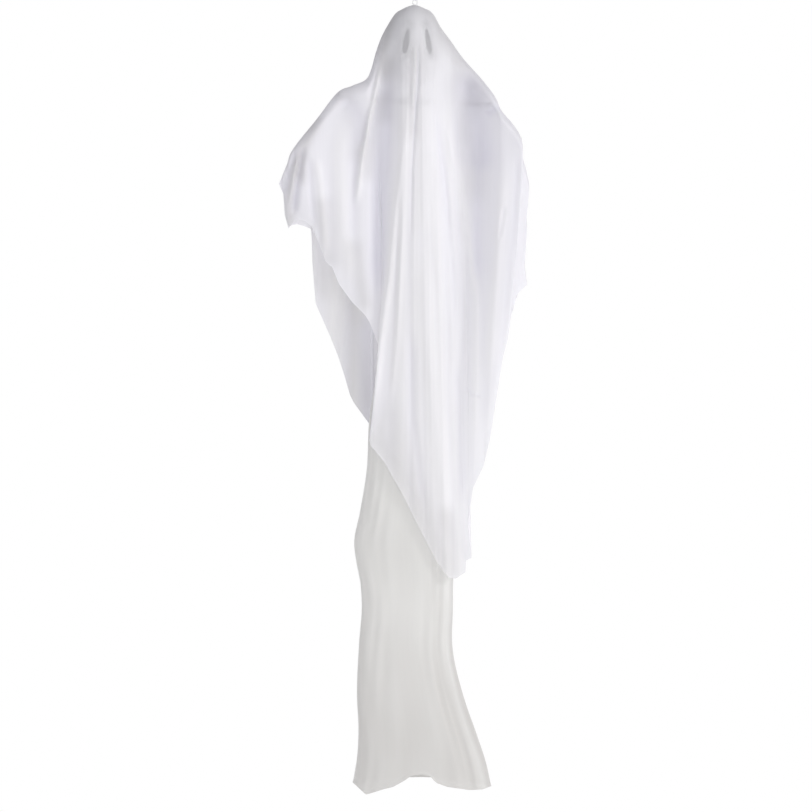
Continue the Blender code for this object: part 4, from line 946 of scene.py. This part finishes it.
def pale_floor():
    """Floor material: pale, and seen directly it turns to plain white further from the spine."""
    made = bpy.data.materials.new("pale_floor")
    made.use_nodes = True
    tree = made.node_tree
    link = tree.links.new
    shader = tree.nodes["Principled BSDF"]
    shader.inputs["Base Color"].default_value = (0.9, 0.9, 0.9, 1.0)
    shader.inputs["Roughness"].default_value = 0.8
    glow = tree.nodes.new("ShaderNodeEmission")
    glow.inputs["Strength"].default_value = 1.0
    place = tree.nodes.new("ShaderNodeTexCoord")
    flat = tree.nodes.new("ShaderNodeVectorMath")
    flat.operation = "MULTIPLY"
    flat.inputs[1].default_value = (1, 1, 0)
    away = tree.nodes.new("ShaderNodeVectorMath")
    away.operation = "LENGTH"
    fade = tree.nodes.new("ShaderNodeMapRange")
    fade.inputs["From Min"].default_value = SHADE_NEAR
    fade.inputs["From Max"].default_value = SHADE_FAR
    fade.inputs["To Min"].default_value = WHITE_NEAR_SHARE
    fade.inputs["To Max"].default_value = 1.0
    link(place.outputs["Object"], flat.inputs[0])
    link(flat.outputs["Vector"], away.inputs[0])
    link(away.outputs["Value"], fade.inputs["Value"])
    factor = maths(tree, "MULTIPLY", seen_directly(tree), fade.outputs["Result"])
    both = shader_mix(tree, factor, shader.outputs["BSDF"], glow.outputs["Emission"])
    link(both, tree.nodes["Material Output"].inputs["Surface"])
    return made


bpy.context.scene.world = studio_world()

floor_mesh = bpy.data.meshes.new("floor")
corners = [(-1, -1), (1, -1), (1, 1), (-1, 1)]
places = [(x * FLOOR_HALF, y * FLOOR_HALF, -FLOOR_DROP) for x, y in corners]
floor_mesh.from_pydata(places, [], [(0, 1, 2, 3)])
floor_mesh.materials.append(pale_floor())
floor = bpy.data.objects.new("floor", floor_mesh)
bpy.context.scene.collection.objects.link(floor)

camera_data = bpy.data.cameras.new("camera")
camera = bpy.data.objects.new("camera", camera_data)
bpy.context.scene.collection.objects.link(camera)
bpy.context.scene.camera = camera
camera_data.sensor_width = SENSOR
camera_data.lens = SENSOR * CAMERA_DISTANCE / (PHOTO_PIXELS * PIXEL)
camera.location = (VIEW_X, -CAMERA_DISTANCE, VIEW_Z)
camera.rotation_euler = (math.pi / 2, 0, 0)
bpy.context.scene.view_settings.view_transform = "Standard"

bpy.context.view_layer.update()
